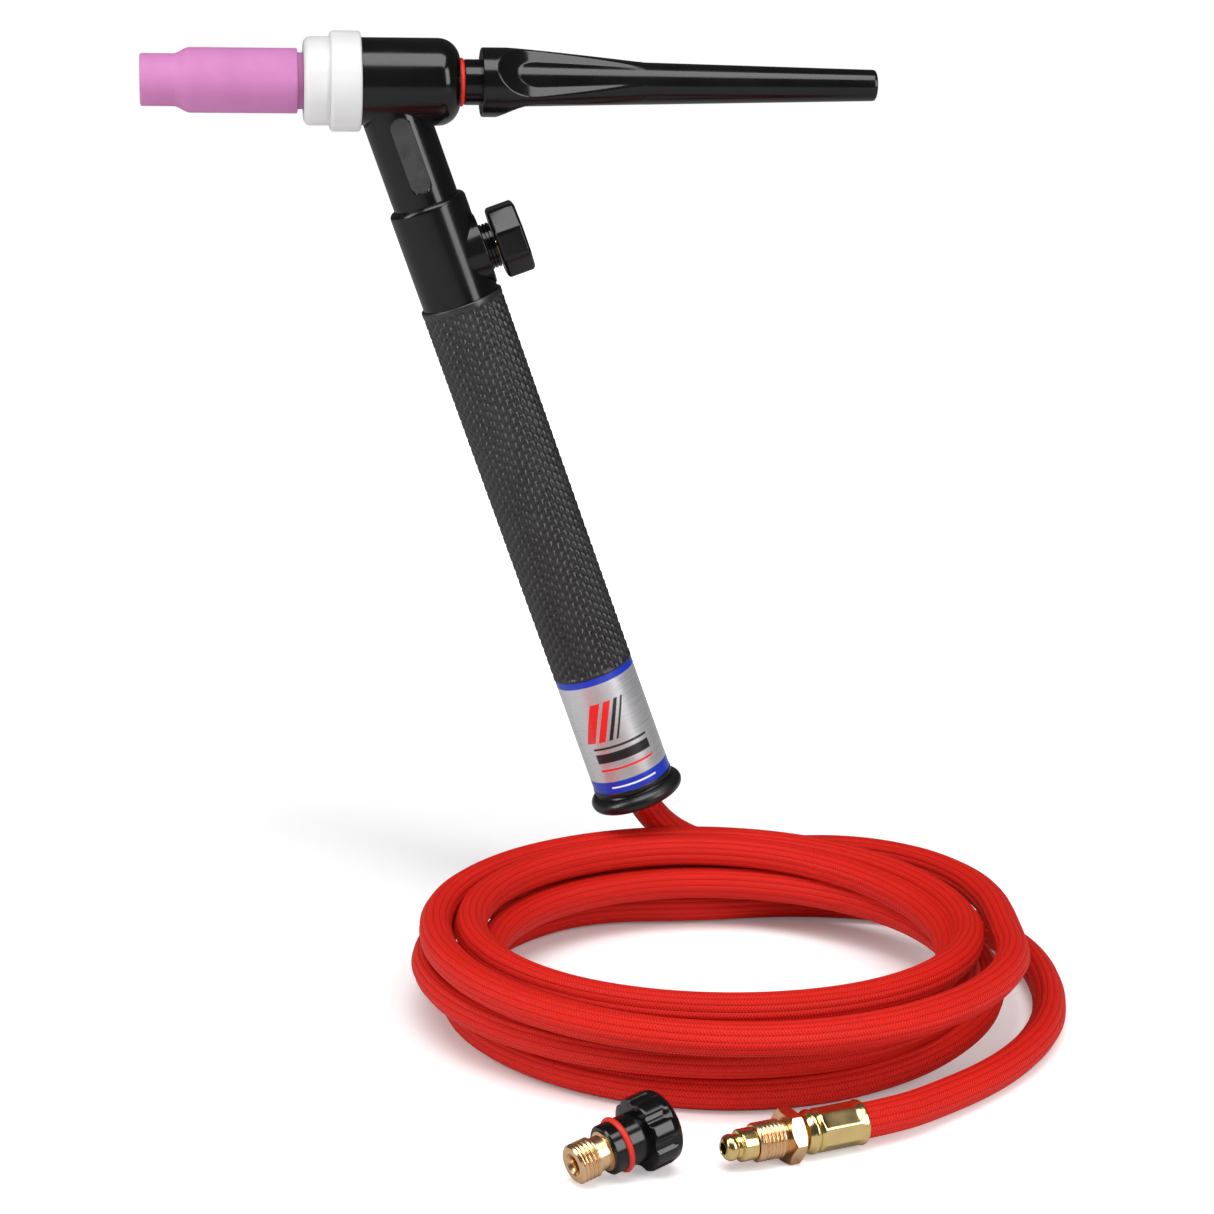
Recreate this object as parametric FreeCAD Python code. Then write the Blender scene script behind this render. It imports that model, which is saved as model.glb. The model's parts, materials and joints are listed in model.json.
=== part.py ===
"""TIG welding torch with a gas valve in the handle, its braided hose and a spare short back cap.

Units are millimetres. The origin is the middle of the knurled grip, on the handle's axis. +X is the
head's axis from the gas cup to the long back cap, and +Z is up. The handle hangs below the head, and
the hose lies coiled on the floor below the torch.
"""
import FreeCAD, Part
import math
import os

Vector = FreeCAD.Vector
os.makedirs("parts", exist_ok=True)

# ---- driving sizes of the torch -------------------------------------------------------------
HEAD_ANGLE = 70.0            # between the long back cap and the handle, degrees
GRIP_START = 63.0            # along the handle's axis, from where it crosses the head's axis
GRIP_LENGTH = 112.5          # knurled part of the handle sleeve
LABEL_LENGTH = 35.0          # plain part of the sleeve, which the label covers
GRIP_R = 11.6
LABEL_SEAT_R = 11.15
LABEL_THICKNESS = 0.3
SLEEVE_BORE_R = 9.0

HEAD_R = 11.75               # moulded cover round the torch body
HEAD_FRONT = -6.1            # along the head's axis, from where the handle's axis crosses it
HEAD_REAR = 20.75
HEAD_REAR_ROUND = 6.0
NECK_R = 9.1
NECK_END = 36.0              # along the handle's axis
PANEL_LENGTH = 21.4
PANEL_WIDTH = 5.8
PANEL_DEPTH = 0.45
PANEL_TOP = 9.6                # clear of the head's own curve

CAP_THREAD_R = 4.9           # outside thread of both back caps
CAP_BARREL_R = CAP_THREAD_R + 1.25
BODY_R = CAP_BARREL_R + 0.45 # brass torch body inside the cover
BODY_FRONT = -14.5
BODY_REAR = 18.5
COLLET_SEAT_R = 2.1
FRONT_THREAD_R = 4.7
FRONT_THREAD_DEPTH = 8.0
REAR_THREAD_R = CAP_THREAD_R + 0.1
REAR_THREAD_DEPTH = 12.0
NECK_TUBE_R = 4.0
NECK_TUBE_BORE_R = 2.5

GASKET_NOSE_R = 11.85
GASKET_FLANGE_R = 13.45
GASKET_NOSE_LENGTH = 7.1
GASKET_FLANGE_LENGTH = 8.3

CUP_LENGTH = 47.6            # alumina gas cup
CUP_FRONT_R = 7.0
CUP_BODY_R = 8.7
CUP_NECK_R = 7.55
CUP_BORE_R = 4.75
CUP_FRONT_LENGTH = 8.7
CUP_FLARE_LENGTH = 4.7
CUP_NECK_LENGTH = 5.7
CUP_THREAD_R = 6.2
CUP_THREAD_DEPTH = 11.0

ELECTRODE_R = 1.2
ELECTRODE_LENGTH = 175.0
ELECTRODE_END_GAP = 3.0      # behind the electrode, inside the back cap

CAP_LENGTH = 109.0           # long back cap, from its front face to its end
CAP_FRONT_R = 9.35
CAP_END_R = 4.25
CAP_BARREL_LENGTH = 4.6
CAP_BORE_R = 1.7
CAP_END_WALL = 10.5          # solid end behind the bore
RIB_LENGTH = 44.5            # from the front face to where the ribs run out in the cone
RIB_MERGE_R = 5.7
FLUTE_START = 4.0            # behind the front face
FLUTE_FLOOR_AT = 15.7
FLUTE_DEPTH_R = 5.3          # the scoops' flats; the round core stands proud of them
FLUTES = 3
SEAL_CORD_R = 0.78
CAP_THREAD_LENGTH = 8.0

VALVE_TOP = 34.9             # along the handle's axis
VALVE_R = NECK_R + 1.7       # the neck fits inside its top
VALVE_TOP_ROUND = 2.8
VALVE_CHAMBER_R = 7.0
SPIGOT_LENGTH = 12.0
BOSS_AT = 52.2               # valve axis, along the handle's axis
BOSS_FACE_R = 10.0
BOSS_ROOT_R = 9.35
BOSS_FACE = VALVE_R + 0.27   # distance of its face from the handle's axis
RETAINER_R = 6.35
RETAINER_FACE = BOSS_FACE + 2.93
SPINDLE_R = 2.0
KNOB_FACE = RETAINER_FACE + 8.3
KNOB_GAP = 0.25
KNOB_FLATS = 19.3
KNOB_SIDES = 8

BOOT_LIP_R = 11.6
BOOT_WAIST_R = 10.9
BOOT_RING_R = 13.5
BOOT_LENGTH = 7.1

# ---- hose, its coil and its fitting ----------------------------------------------------------
HOSE_R = 4.6
HOSE_WALL = 1.2
CORE_R = 2.4
FLOOR_Z = -128.0
COIL_CENTRE = (45.0, -74.0)
COIL_INNER_R = 57.0
COIL_OUTER_R = 78.0
COIL_LAYERS = 3
HEX_FLATS = 12.0
POWER_THREAD_R = 4.7625      # 3/8 inch outside the thread

# route of the hose from inside the boot to where it joins the coil
LEAD_ROUTE = [
    (27.6, 0.0, -75.9), (32.4, 0.0, -89.0), (37.2, 1.6, -96.3), (44.6, 5.4, -102.0),
    (55.5, 8.7, -105.0), (74.0, 7.5, -105.4), (94.0, -3.5, -105.0), (110.0, -20.0, -105.2),
    (120.5, -40.0, -105.0), (124.0, -60.0, -105.2), (122.5, -78.0, -105.2),
]
# route of the hose from under the coil, round its right side, to the ferrule; its last run is
# level and sets the fitting's axis, half the hexagon's flats above the floor
TAIL_ROUTE = [
    (52.0, -6.5, -123.4), (72.0, -4.5, -123.4), (92.0, -6.5, -123.4), (111.0, -13.0, -123.4),
    (126.0, -25.5, -123.4), (134.5, -42.0, -123.4), (137.0, -62.0, -123.4), (135.0, -83.0, -123.4),
    (129.0, -104.0, -123.4), (118.5, -122.5, -123.4), (104.5, -138.5, -123.4), (88.5, -152.0, -123.0),
    (75.8, -162.4, FLOOR_Z + HEX_FLATS / 2), (64.5, -166.5, FLOOR_Z + HEX_FLATS / 2),
]

# ---- spare short back cap --------------------------------------------------------------------
SPARE_AT = (17.0, -173.0)    # rear of its head, on the floor
SPARE_ANGLE = 26.0
SPARE_TILT = 11.0
SPARE_HEAD_R = 9.2
SPARE_HEAD_LENGTH = 8.6
SPARE_BARREL_LENGTH = 4.8
SPARE_FLUTES = 8

# ---- named clearances ------------------------------------------------------------------------
RUNNING = 0.1                # radial, a turning fit
LOOSE = 0.3                  # between pieces that move past each other
GAP = 0.2                    # end gap between a moving piece and its stop

# ---- frames ----------------------------------------------------------------------------------
X = Vector(1, 0, 0)
Y = Vector(0, 1, 0)
Z = Vector(0, 0, 1)
ANGLE = math.radians(HEAD_ANGLE)
ALONG = Vector(math.cos(ANGLE), 0, -math.sin(ANGLE))     # down the handle
ACROSS = Vector(math.sin(ANGLE), 0, math.cos(ANGLE))     # towards the valve knob
GRIP_MIDDLE = GRIP_START + GRIP_LENGTH / 2
CROSSING = ALONG * -GRIP_MIDDLE                          # where the two axes cross
GRIP_END = GRIP_START + GRIP_LENGTH
SLEEVE_END = GRIP_END + LABEL_LENGTH


def placed(shape, base, axis, side):
    """Move a shape from its own frame, Z to axis and X to side, with its origin at base."""
    third = axis.cross(side)
    matrix = FreeCAD.Matrix(
        side.x, third.x, axis.x, base.x,
        side.y, third.y, axis.y, base.y,
        side.z, third.z, axis.z, base.z,
        0, 0, 0, 1)
    moved = shape.copy()
    moved.Placement = FreeCAD.Placement(matrix)
    return moved


def on_head(shape):
    """Z of the shape's own frame runs along the head's axis, towards the back cap; X is up."""
    return placed(shape, CROSSING, X, Z)


def on_handle(shape):
    """Z of the shape's own frame runs down the handle's axis; X points to the valve knob."""
    return placed(shape, CROSSING, ALONG, ACROSS)


def on_valve(shape):
    """Z of the shape's own frame runs out along the valve's axis; X lies across the handle."""
    return placed(shape, CROSSING + ALONG * BOSS_AT, ACROSS, Y)


def disc(radius, start, end):
    """Cylinder on the local Z axis from start to end."""
    return Part.makeCylinder(radius, end - start, Vector(0, 0, start), Z)


def pipe(radius, bore, start, end):
    return disc(radius, start, end).cut(disc(bore, start - 1, end + 1))


def turned(outline):
    """Revolve an outline of (z, radius) points; ((z, r), (z, r)) is an arc's middle and end."""
    def spot(point):
        return Vector(point[1], 0, point[0])
    edges = []
    here = outline[0]
    for step in outline[1:] + [outline[0]]:
        if isinstance(step[0], tuple):
            middle, end = step
            edges.append(Part.Arc(spot(here), spot(middle), spot(end)).toShape())
            here = end
        else:
            edges.append(Part.LineSegment(spot(here), spot(step)).toShape())
            here = step
    return Part.Face(Part.Wire(edges)).revolve(Vector(0, 0, 0), Z, 360)


def rim_edges(shape, height, radius):
    """Circular edges at a height and radius of a shape that is still in its own frame."""
    found = []
    for edge in shape.Edges:
        curve = edge.Curve
        if isinstance(curve, Part.Circle) and abs(curve.Radius - radius) < 0.01:
            if abs(curve.Center.z - height) < 0.01:
                found.append(edge)
    return found


def rounded(shape, radius, *rims):
    """Round the circular edges given as (height, radius) pairs."""
    edges = []
    for height, rim_radius in rims:
        edges += rim_edges(shape, height, rim_radius)
    return shape.makeFillet(radius, edges)


def ring(major, minor, height):
    return Part.makeTorus(major, minor, Vector(0, 0, height), Z)


def turns_about_z(shape, count):
    """Copies of a shape evenly spaced about the local Z axis."""
    copies = []
    for index in range(count):
        copy = shape.copy()
        copy.rotate(Vector(0, 0, 0), Z, 360.0 * index / count)
        copies.append(copy)
    return copies


def prism(sides, flats, start, end):
    """Regular prism on the local Z axis, with a flat towards local X."""
    corner = flats / 2 / math.cos(math.pi / sides)
    points = []
    for index in range(sides + 1):
        angle = math.pi / sides + 2 * math.pi * index / sides
        points.append(Vector(corner * math.cos(angle), corner * math.sin(angle), start))
    return Part.Face(Part.makePolygon(points)).extrude(Z * (end - start))


def s_curve(start, end):
    """Two equal arcs that join a cylinder at start to one at end, both (z, radius)."""
    middle = ((start[0] + end[0]) / 2, (start[1] + end[1]) / 2)
    length = end[0] - start[0]
    rise = end[1] - start[1]
    # sagitta of each arc, which is tangent to the cylinder that it meets
    first = (start[0] + length / 4, start[1] + rise * 0.13)
    last = (end[0] - length / 4, end[1] - rise * 0.13)
    return [(first, middle), (last, end)]


# ---- head ------------------------------------------------------------------------------------
CUP_MOUTH = HEAD_FRONT - GASKET_FLANGE_LENGTH - GASKET_NOSE_LENGTH + 4.1 - CUP_LENGTH
CUP_REAR = CUP_MOUTH + CUP_LENGTH
GASKET_FACE = HEAD_FRONT - GASKET_FLANGE_LENGTH - GASKET_NOSE_LENGTH
CAP_FRONT = HEAD_REAR + 1.15 + CAP_BARREL_LENGTH
CAP_BORE_END = CAP_FRONT + CAP_LENGTH - CAP_END_WALL
ELECTRODE_TIP = CAP_BORE_END - ELECTRODE_END_GAP - ELECTRODE_LENGTH
COLLET_BODY_FRONT = BODY_FRONT - 29.5
COLLET_R = COLLET_SEAT_R - 0.1
COLLET_REAR = BODY_REAR - REAR_THREAD_DEPTH + 2.3


def nozzle():
    """Alumina gas cup: small front, smooth flare, body, and a short neck that the gasket takes."""
    flare = CUP_MOUTH + CUP_FRONT_LENGTH
    body = flare + CUP_FLARE_LENGTH
    neck = CUP_REAR - CUP_NECK_LENGTH
    thread_end = CUP_REAR - CUP_THREAD_DEPTH
    cone_end = thread_end - 7.5
    outline = [(CUP_MOUTH, CUP_BORE_R), (CUP_MOUTH, CUP_FRONT_R - 0.3),
               (CUP_MOUTH + 0.3, CUP_FRONT_R), (flare, CUP_FRONT_R)]
    outline += s_curve((flare, CUP_FRONT_R), (body, CUP_BODY_R))
    outline += [(neck - 0.3, CUP_BODY_R), (neck, CUP_BODY_R - 0.3), (neck, CUP_NECK_R),
                (CUP_REAR, CUP_NECK_R), (CUP_REAR, CUP_THREAD_R), (thread_end, CUP_THREAD_R),
                (cone_end, CUP_BORE_R)]
    return on_head(turned(outline))


def cup_gasket():
    """White heat shield between the cup and the head: a nose, a wider flange and a stepped bore."""
    flange = HEAD_FRONT - GASKET_FLANGE_LENGTH
    seat = CUP_REAR + LOOSE
    outline = [(GASKET_FACE, CUP_NECK_R + LOOSE), (GASKET_FACE, GASKET_NOSE_R),
               (flange, GASKET_NOSE_R), (flange, GASKET_FLANGE_R), (HEAD_FRONT, GASKET_FLANGE_R),
               (HEAD_FRONT, BODY_R), (seat, BODY_R), (seat, CUP_NECK_R + LOOSE)]
    shape = turned(outline)
    shape = rounded(shape, 1.9, (GASKET_FACE, GASKET_NOSE_R))
    shape = rounded(shape, 0.9, (flange, GASKET_FLANGE_R), (HEAD_FRONT, GASKET_FLANGE_R))
    return on_head(shape)


def torch_body():
    """Brass body: front thread for the collet body, collet seat, rear thread for the back cap."""
    front_end = BODY_FRONT + FRONT_THREAD_DEPTH
    rear_start = BODY_REAR - REAR_THREAD_DEPTH
    outline = [(BODY_FRONT, FRONT_THREAD_R), (BODY_FRONT, BODY_R), (BODY_REAR, BODY_R),
               (BODY_REAR, REAR_THREAD_R), (rear_start, REAR_THREAD_R),
               (rear_start, COLLET_SEAT_R), (front_end, COLLET_SEAT_R),
               (front_end, FRONT_THREAD_R)]
    gas_port = on_handle(disc(NECK_TUBE_BORE_R, COLLET_SEAT_R, BODY_R + 5))
    return on_head(turned(outline)).cut(gas_port)


def neck_tube():
    """Brass pipe brazed to the body, which carries gas and current down the neck."""
    tube = on_handle(pipe(NECK_TUBE_R, NECK_TUBE_BORE_R, 2.0, NECK_TUBE_END))
    return tube.cut(on_head(disc(BODY_R, BODY_FRONT, BODY_REAR)))


def head_cover():
    """One black moulding round the body and the neck tube, with a blank oblong recess."""
    head = disc(HEAD_R, HEAD_FRONT, HEAD_REAR)
    head = on_head(rounded(head, HEAD_REAR_ROUND, (HEAD_REAR, HEAD_R)))
    # the neck starts inside the head, just behind the head's front face
    neck_start = (HEAD_FRONT + 0.05 + NECK_R * math.sin(ANGLE)) / math.cos(ANGLE)
    shape = head.fuse(on_handle(disc(NECK_R, neck_start, NECK_END))).removeSplitter()
    half = PANEL_WIDTH / 2
    low = PANEL_TOP + half
    high = PANEL_TOP + PANEL_LENGTH - half
    stamp = Part.makeBox(PANEL_WIDTH, 4, high - low, Vector(-half, NECK_R - PANEL_DEPTH, low))
    for end in (low, high):
        round_end = Part.makeCylinder(half, 4, Vector(0, NECK_R - PANEL_DEPTH, end), Y)
        stamp = stamp.fuse(round_end)
    shape = shape.cut(on_handle(stamp))
    shape = shape.cut(on_head(disc(BODY_R, HEAD_FRONT - 1, BODY_REAR)))
    shape = shape.cut(on_head(disc(BODY_R + LOOSE, BODY_REAR, HEAD_REAR + 1)))
    return shape.cut(on_handle(disc(NECK_TUBE_R, 0, NECK_END + 1)))


def collet_body():
    """Copper collet body: rear thread, collar, cup thread, and a nose with four gas holes."""
    rear = BODY_FRONT + FRONT_THREAD_DEPTH
    collar = BODY_FRONT - 2.4
    thread = collar - 10.0
    nose_r = 4.1
    outline = [(rear, COLLET_SEAT_R), (rear, FRONT_THREAD_R), (BODY_FRONT, FRONT_THREAD_R),
               (BODY_FRONT, BODY_R - 0.4), (collar, BODY_R - 0.4),
               (collar, CUP_THREAD_R - GAP), (thread, CUP_THREAD_R - GAP), (thread, nose_r),
               (COLLET_BODY_FRONT + 3, nose_r), (COLLET_BODY_FRONT, ELECTRODE_R + 1.1),
               (COLLET_BODY_FRONT, ELECTRODE_R + 0.15),
               (COLLET_BODY_FRONT + 1.2, ELECTRODE_R + 0.15),
               (COLLET_BODY_FRONT + 2.2, COLLET_SEAT_R)]
    shape = turned(outline)
    hole = Part.makeCylinder(0.6, 8, Vector(0, 0, thread - 4.0), X)
    return on_head(shape.cut(turns_about_z(hole, 4)))


def collet():
    """Copper collet: a long tube split into four fingers at its coned front."""
    front = COLLET_BODY_FRONT + 2.4
    outline = [(front, ELECTRODE_R + 0.05), (front, ELECTRODE_R + 0.45),
               (front + 1.6, COLLET_R), (COLLET_REAR, COLLET_R),
               (COLLET_REAR, ELECTRODE_R + 0.05)]
    slot = Part.makeBox(0.3, 6, 20, Vector(-0.15, -3, front - 1))
    return on_head(turned(outline).cut(turns_about_z(slot, 2)[0]).cut(
        turns_about_z(slot, 4)[1]))


def electrode():
    """Ground tungsten rod, which the collet grips."""
    tip = 4.5
    outline = [(ELECTRODE_TIP, 0), (ELECTRODE_TIP, 0.15), (ELECTRODE_TIP + tip, ELECTRODE_R),
               (ELECTRODE_TIP + ELECTRODE_LENGTH, ELECTRODE_R),
               (ELECTRODE_TIP + ELECTRODE_LENGTH, 0)]
    return on_head(turned(outline))


def cap_shell():
    """Long moulded back cap: barrel, flange, three scooped flutes round a conical core, and ribs."""
    end = CAP_FRONT + CAP_LENGTH
    barrel = CAP_FRONT - CAP_BARREL_LENGTH
    outline = [(barrel, 0), (barrel, CAP_BARREL_R), (CAP_FRONT, CAP_BARREL_R),
               (CAP_FRONT, CAP_FRONT_R - 0.5), (CAP_FRONT + 0.5, CAP_FRONT_R),
               (CAP_FRONT + 7.0, CAP_FRONT_R - 0.05),
               ((CAP_FRONT + 24.0, CAP_FRONT_R - 1.35), (CAP_FRONT + RIB_LENGTH, RIB_MERGE_R)),
               (end, CAP_END_R), (end, 0)]
    shape = rounded(turned(outline), 0.8, (end, CAP_END_R))
    scoop_top = CAP_FRONT_R + 2
    run_out = CAP_FRONT + RIB_LENGTH
    taper = (RIB_MERGE_R - CAP_END_R) / (CAP_LENGTH - RIB_LENGTH)
    core = turned([(CAP_FRONT, 0), (CAP_FRONT, RIB_MERGE_R + taper * RIB_LENGTH),
                   (run_out, RIB_MERGE_R), (run_out, 0)])
    # side view of a flute: it starts as a hollow curve and runs level past the end of the ribs
    start = Vector(scoop_top - 2, 0, CAP_FRONT + FLUTE_START)
    bend = Vector(FLUTE_DEPTH_R + 0.95, 0, CAP_FRONT + FLUTE_FLOOR_AT - 4.6)
    floor = Vector(FLUTE_DEPTH_R, 0, CAP_FRONT + FLUTE_FLOOR_AT)
    last = Vector(FLUTE_DEPTH_R, 0, run_out - 0.5)
    corners = [Vector(scoop_top, 0, run_out - 0.5), Vector(scoop_top, 0, CAP_FRONT + FLUTE_START)]
    edges = [Part.Arc(start, bend, floor).toShape(), Part.LineSegment(floor, last).toShape(),
             Part.LineSegment(last, corners[0]).toShape(),
             Part.LineSegment(corners[0], corners[1]).toShape(),
             Part.LineSegment(corners[1], start).toShape()]
    scoop = Part.Face(Part.Wire(edges)).extrude(Y * 24)
    scoop.translate(Y * -12)
    scoop.rotate(Vector(0, 0, 0), Z, 180)
    shape = shape.cut(turns_about_z(scoop, FLUTES)).fuse(core).removeSplitter()
    shape = shape.cut(disc(CAP_BORE_R, barrel - 1, CAP_BORE_END))
    socket = disc(CAP_THREAD_R, barrel - 1, CAP_FRONT)
    return on_head(shape.cut(socket))


def cap_ferrule():
    """Threaded brass insert of the long back cap."""
    front = COLLET_REAR + GAP
    barrel = CAP_FRONT - CAP_BARREL_LENGTH
    thread = front + CAP_THREAD_LENGTH
    outline = [(front, CAP_BORE_R), (front, CAP_THREAD_R - 0.4), (front + 0.4, CAP_THREAD_R),
               (thread, CAP_THREAD_R), (thread + 0.3, CAP_THREAD_R - 0.6),
               (barrel - 2.6, CAP_THREAD_R - 0.6), (barrel - 2.2, CAP_THREAD_R),
               (CAP_FRONT, CAP_THREAD_R), (CAP_FRONT, CAP_BORE_R)]
    return on_head(turned(outline))


def cap_o_ring():
    barrel = CAP_FRONT - CAP_BARREL_LENGTH
    major = CAP_THREAD_R + RUNNING + SEAL_CORD_R
    return on_head(ring(major, SEAL_CORD_R, barrel - SEAL_CORD_R - 0.05))


# ---- valve -----------------------------------------------------------------------------------
NECK_TUBE_END = VALVE_TOP + 9.5
BLOCK_TOP = VALVE_TOP + 5.0
BLOCK_END = GRIP_START - 2.0
VALVE_PASSAGE_R = 1.8
GLAND_R = 3.2
GLAND_FLOOR = 5.0
STUB_R = 4.5
OUTLET_R = 4.0


def valve_body():
    """Black moulding that takes the neck, carries the valve boss and plugs into the sleeve."""
    shape = disc(VALVE_R, VALVE_TOP, GRIP_START)
    shape = rounded(shape, VALVE_TOP_ROUND, (VALVE_TOP, VALVE_R))
    shape = shape.fuse(disc(SLEEVE_BORE_R, GRIP_START - 1, GRIP_START + SPIGOT_LENGTH))
    shape = on_handle(shape)
    boss = turned([(0, 0), (0, BOSS_ROOT_R - 0.3), (BOSS_FACE - 0.4, BOSS_FACE_R),
                   (BOSS_FACE, BOSS_FACE_R - 0.4), (BOSS_FACE, 0)])
    shape = shape.fuse(on_valve(boss)).removeSplitter()
    shape = shape.cut(on_handle(disc(NECK_R, VALVE_TOP - 1, NECK_END)))
    shape = shape.cut(on_handle(disc(NECK_TUBE_R, NECK_END - 1, BLOCK_TOP + 1)))
    shape = shape.cut(on_handle(disc(VALVE_CHAMBER_R, BLOCK_TOP, GRIP_START + SPIGOT_LENGTH + 1)))
    return shape.cut(on_valve(disc(STUB_R, 0, BOSS_FACE + 1)))


def valve_block():
    """Brass block inside the valve body: neck tube socket, gland bore and outlet stub."""
    block = disc(VALVE_CHAMBER_R, BLOCK_TOP, BLOCK_END)
    block = block.fuse(disc(OUTLET_R, BLOCK_END - 1, OUTLET_END))
    shape = on_handle(block).fuse(on_valve(disc(STUB_R, 0, BOSS_FACE - 3.0)))
    shape = shape.cut(on_handle(disc(NECK_TUBE_R, BLOCK_TOP - 1, NECK_TUBE_END)))
    shape = shape.cut(on_handle(disc(VALVE_PASSAGE_R, NECK_TUBE_END - 1, OUTLET_END + 1)))
    shape = shape.cut(on_valve(disc(GLAND_R, GLAND_FLOOR, BOSS_FACE)))
    return shape.cut(on_valve(disc(SPINDLE_R + RUNNING, 0, GLAND_FLOOR)))


def valve_retainer():
    """Ringed collar that screws into the boss and keeps the valve spindle in."""
    outline = [(BOSS_FACE - 3.0, SPINDLE_R + RUNNING), (BOSS_FACE - 3.0, STUB_R),
               (BOSS_FACE, STUB_R), (BOSS_FACE, RETAINER_R)]
    groove = 0.35
    pitch = (RETAINER_FACE - BOSS_FACE) / 3
    for index in (1, 2):
        middle = BOSS_FACE + pitch * index
        outline += [(middle - 0.25, RETAINER_R), (middle - 0.12, RETAINER_R - groove),
                    (middle + 0.12, RETAINER_R - groove), (middle + 0.25, RETAINER_R)]
    outline += [(RETAINER_FACE, RETAINER_R), (RETAINER_FACE, SPINDLE_R + RUNNING)]
    return on_valve(turned(outline))


def valve_knob():
    """Eight-sided knob with bevelled edges and a recess for its screw."""
    start = RETAINER_FACE + KNOB_GAP
    shape = prism(KNOB_SIDES, KNOB_FLATS, start, KNOB_FACE)
    shape = shape.makeChamfer(0.7, [edge for edge in shape.Edges if on_prism_end(edge)])
    shape = shape.cut(disc(SPINDLE_R, start - 1, KNOB_FACE - 2.4))
    shape = shape.cut(disc(1.3, KNOB_FACE - 3.4, KNOB_FACE))
    return on_valve(shape.cut(disc(3.6, KNOB_FACE - 1.6, KNOB_FACE + 1)))


def on_prism_end(edge):
    """True for the edges of a prism's two end faces."""
    low, high = edge.BoundBox.ZMin, edge.BoundBox.ZMax
    return high - low < 0.01


def valve_spindle():
    """Needle spindle that the knob turns; its cone closes the gas passage."""
    end = KNOB_FACE - 2.4
    outline = [(VALVE_PASSAGE_R + 0.9, 0), (VALVE_PASSAGE_R + 3.2, SPINDLE_R),
               (end, SPINDLE_R), (end, 0)]
    return on_valve(turned(outline))


def knob_screw():
    """Slotted pan-head screw that holds the knob on its spindle."""
    head_start = KNOB_FACE - 1.6
    screw = disc(1.3, KNOB_FACE - 2.4, head_start).fuse(disc(2.6, head_start, head_start + 1.3))
    screw = rounded(screw.removeSplitter(), 0.5, (head_start + 1.3, 2.6))
    slot = Part.makeBox(0.7, 6, 1, Vector(-0.35, -3, head_start + 0.6))
    return on_valve(screw.cut(slot))


def valve_o_ring():
    cord_r = (GLAND_R - SPINDLE_R - 2 * RUNNING) / 2
    return on_valve(ring(SPINDLE_R + RUNNING + cord_r, cord_r, GLAND_FLOOR + cord_r + RUNNING))


# ---- handle ----------------------------------------------------------------------------------
NUT_START = GRIP_START + SPIGOT_LENGTH + 1.0
OUTLET_END = NUT_START + 9.0
HOSE_START = OUTLET_END + 1.5
CONNECTOR_END = OUTLET_END + 10.0
CRIMP_END = CONNECTOR_END + 12.0
BOOT_PLUG_START = SLEEVE_END - 12.5
LEAD_START = GRIP_MIDDLE + 80.75


def handle_sleeve():
    """Grip sleeve: knurled length, and a plain end that takes the label."""
    outline = [(GRIP_START, SLEEVE_BORE_R), (GRIP_START, GRIP_R - 0.3),
               (GRIP_START + 0.3, GRIP_R), (GRIP_END - 0.3, GRIP_R), (GRIP_END, GRIP_R - 0.3),
               (GRIP_END, LABEL_SEAT_R), (SLEEVE_END, LABEL_SEAT_R), (SLEEVE_END, SLEEVE_BORE_R)]
    return on_handle(turned(outline))


def label_band():
    """Foil label wrapped round the plain end of the sleeve."""
    return on_handle(pipe(LABEL_SEAT_R + LABEL_THICKNESS, LABEL_SEAT_R, GRIP_END, SLEEVE_END))


def handle_boot():
    """Rubber end boot: plug in the sleeve, thin lip, waist and a rolled ring round the hose."""
    end = SLEEVE_END + BOOT_LENGTH
    ring_r = 2.3
    ring_at = end - ring_r - 0.4
    mouth = end - 8.0
    outline = [(BOOT_PLUG_START, HOSE_R), (BOOT_PLUG_START, SLEEVE_BORE_R),
               (SLEEVE_END, SLEEVE_BORE_R), (SLEEVE_END, BOOT_LIP_R), (SLEEVE_END + 1.2, BOOT_LIP_R),
               (SLEEVE_END + 1.7, BOOT_WAIST_R), (ring_at - ring_r + 0.1, BOOT_WAIST_R),
               ((ring_at, BOOT_RING_R), (end - 0.4, BOOT_WAIST_R)), (end, BOOT_WAIST_R - 1.0),
               (end, HOSE_R + 2.4), (mouth, HOSE_R)]
    return on_handle(turned(outline))


def cable_connector():
    """Brass nut and barb that join the power cable to the valve block."""
    shoulder = OUTLET_END + 1.0
    inner = HOSE_R - HOSE_WALL
    nut = prism(6, 13.0, NUT_START, OUTLET_END)
    barb = turned([(NUT_START, 0), (NUT_START, 5.0), (shoulder, 5.0), (shoulder, inner),
                   (CONNECTOR_END, inner - 0.2), (CONNECTOR_END, 0)])
    shape = nut.fuse(barb).removeSplitter().cut(disc(OUTLET_R, NUT_START - 1, OUTLET_END))
    return on_handle(shape.cut(disc(VALVE_PASSAGE_R, NUT_START, CONNECTOR_END + 1)))


def cable_crimp():
    """Crimped sleeve that holds the hose on the barb."""
    return on_handle(pipe(HOSE_R + 0.9, HOSE_R, HOSE_START, CRIMP_END))


def handle_hose():
    """Rubber hose inside the handle."""
    inner = HOSE_R - HOSE_WALL
    return on_handle(pipe(HOSE_R, inner, HOSE_START, LEAD_START))


def power_core():
    """Copper power cable inside the hose, with room for gas round it."""
    return on_handle(disc(CORE_R, CONNECTOR_END, LEAD_START))


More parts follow.
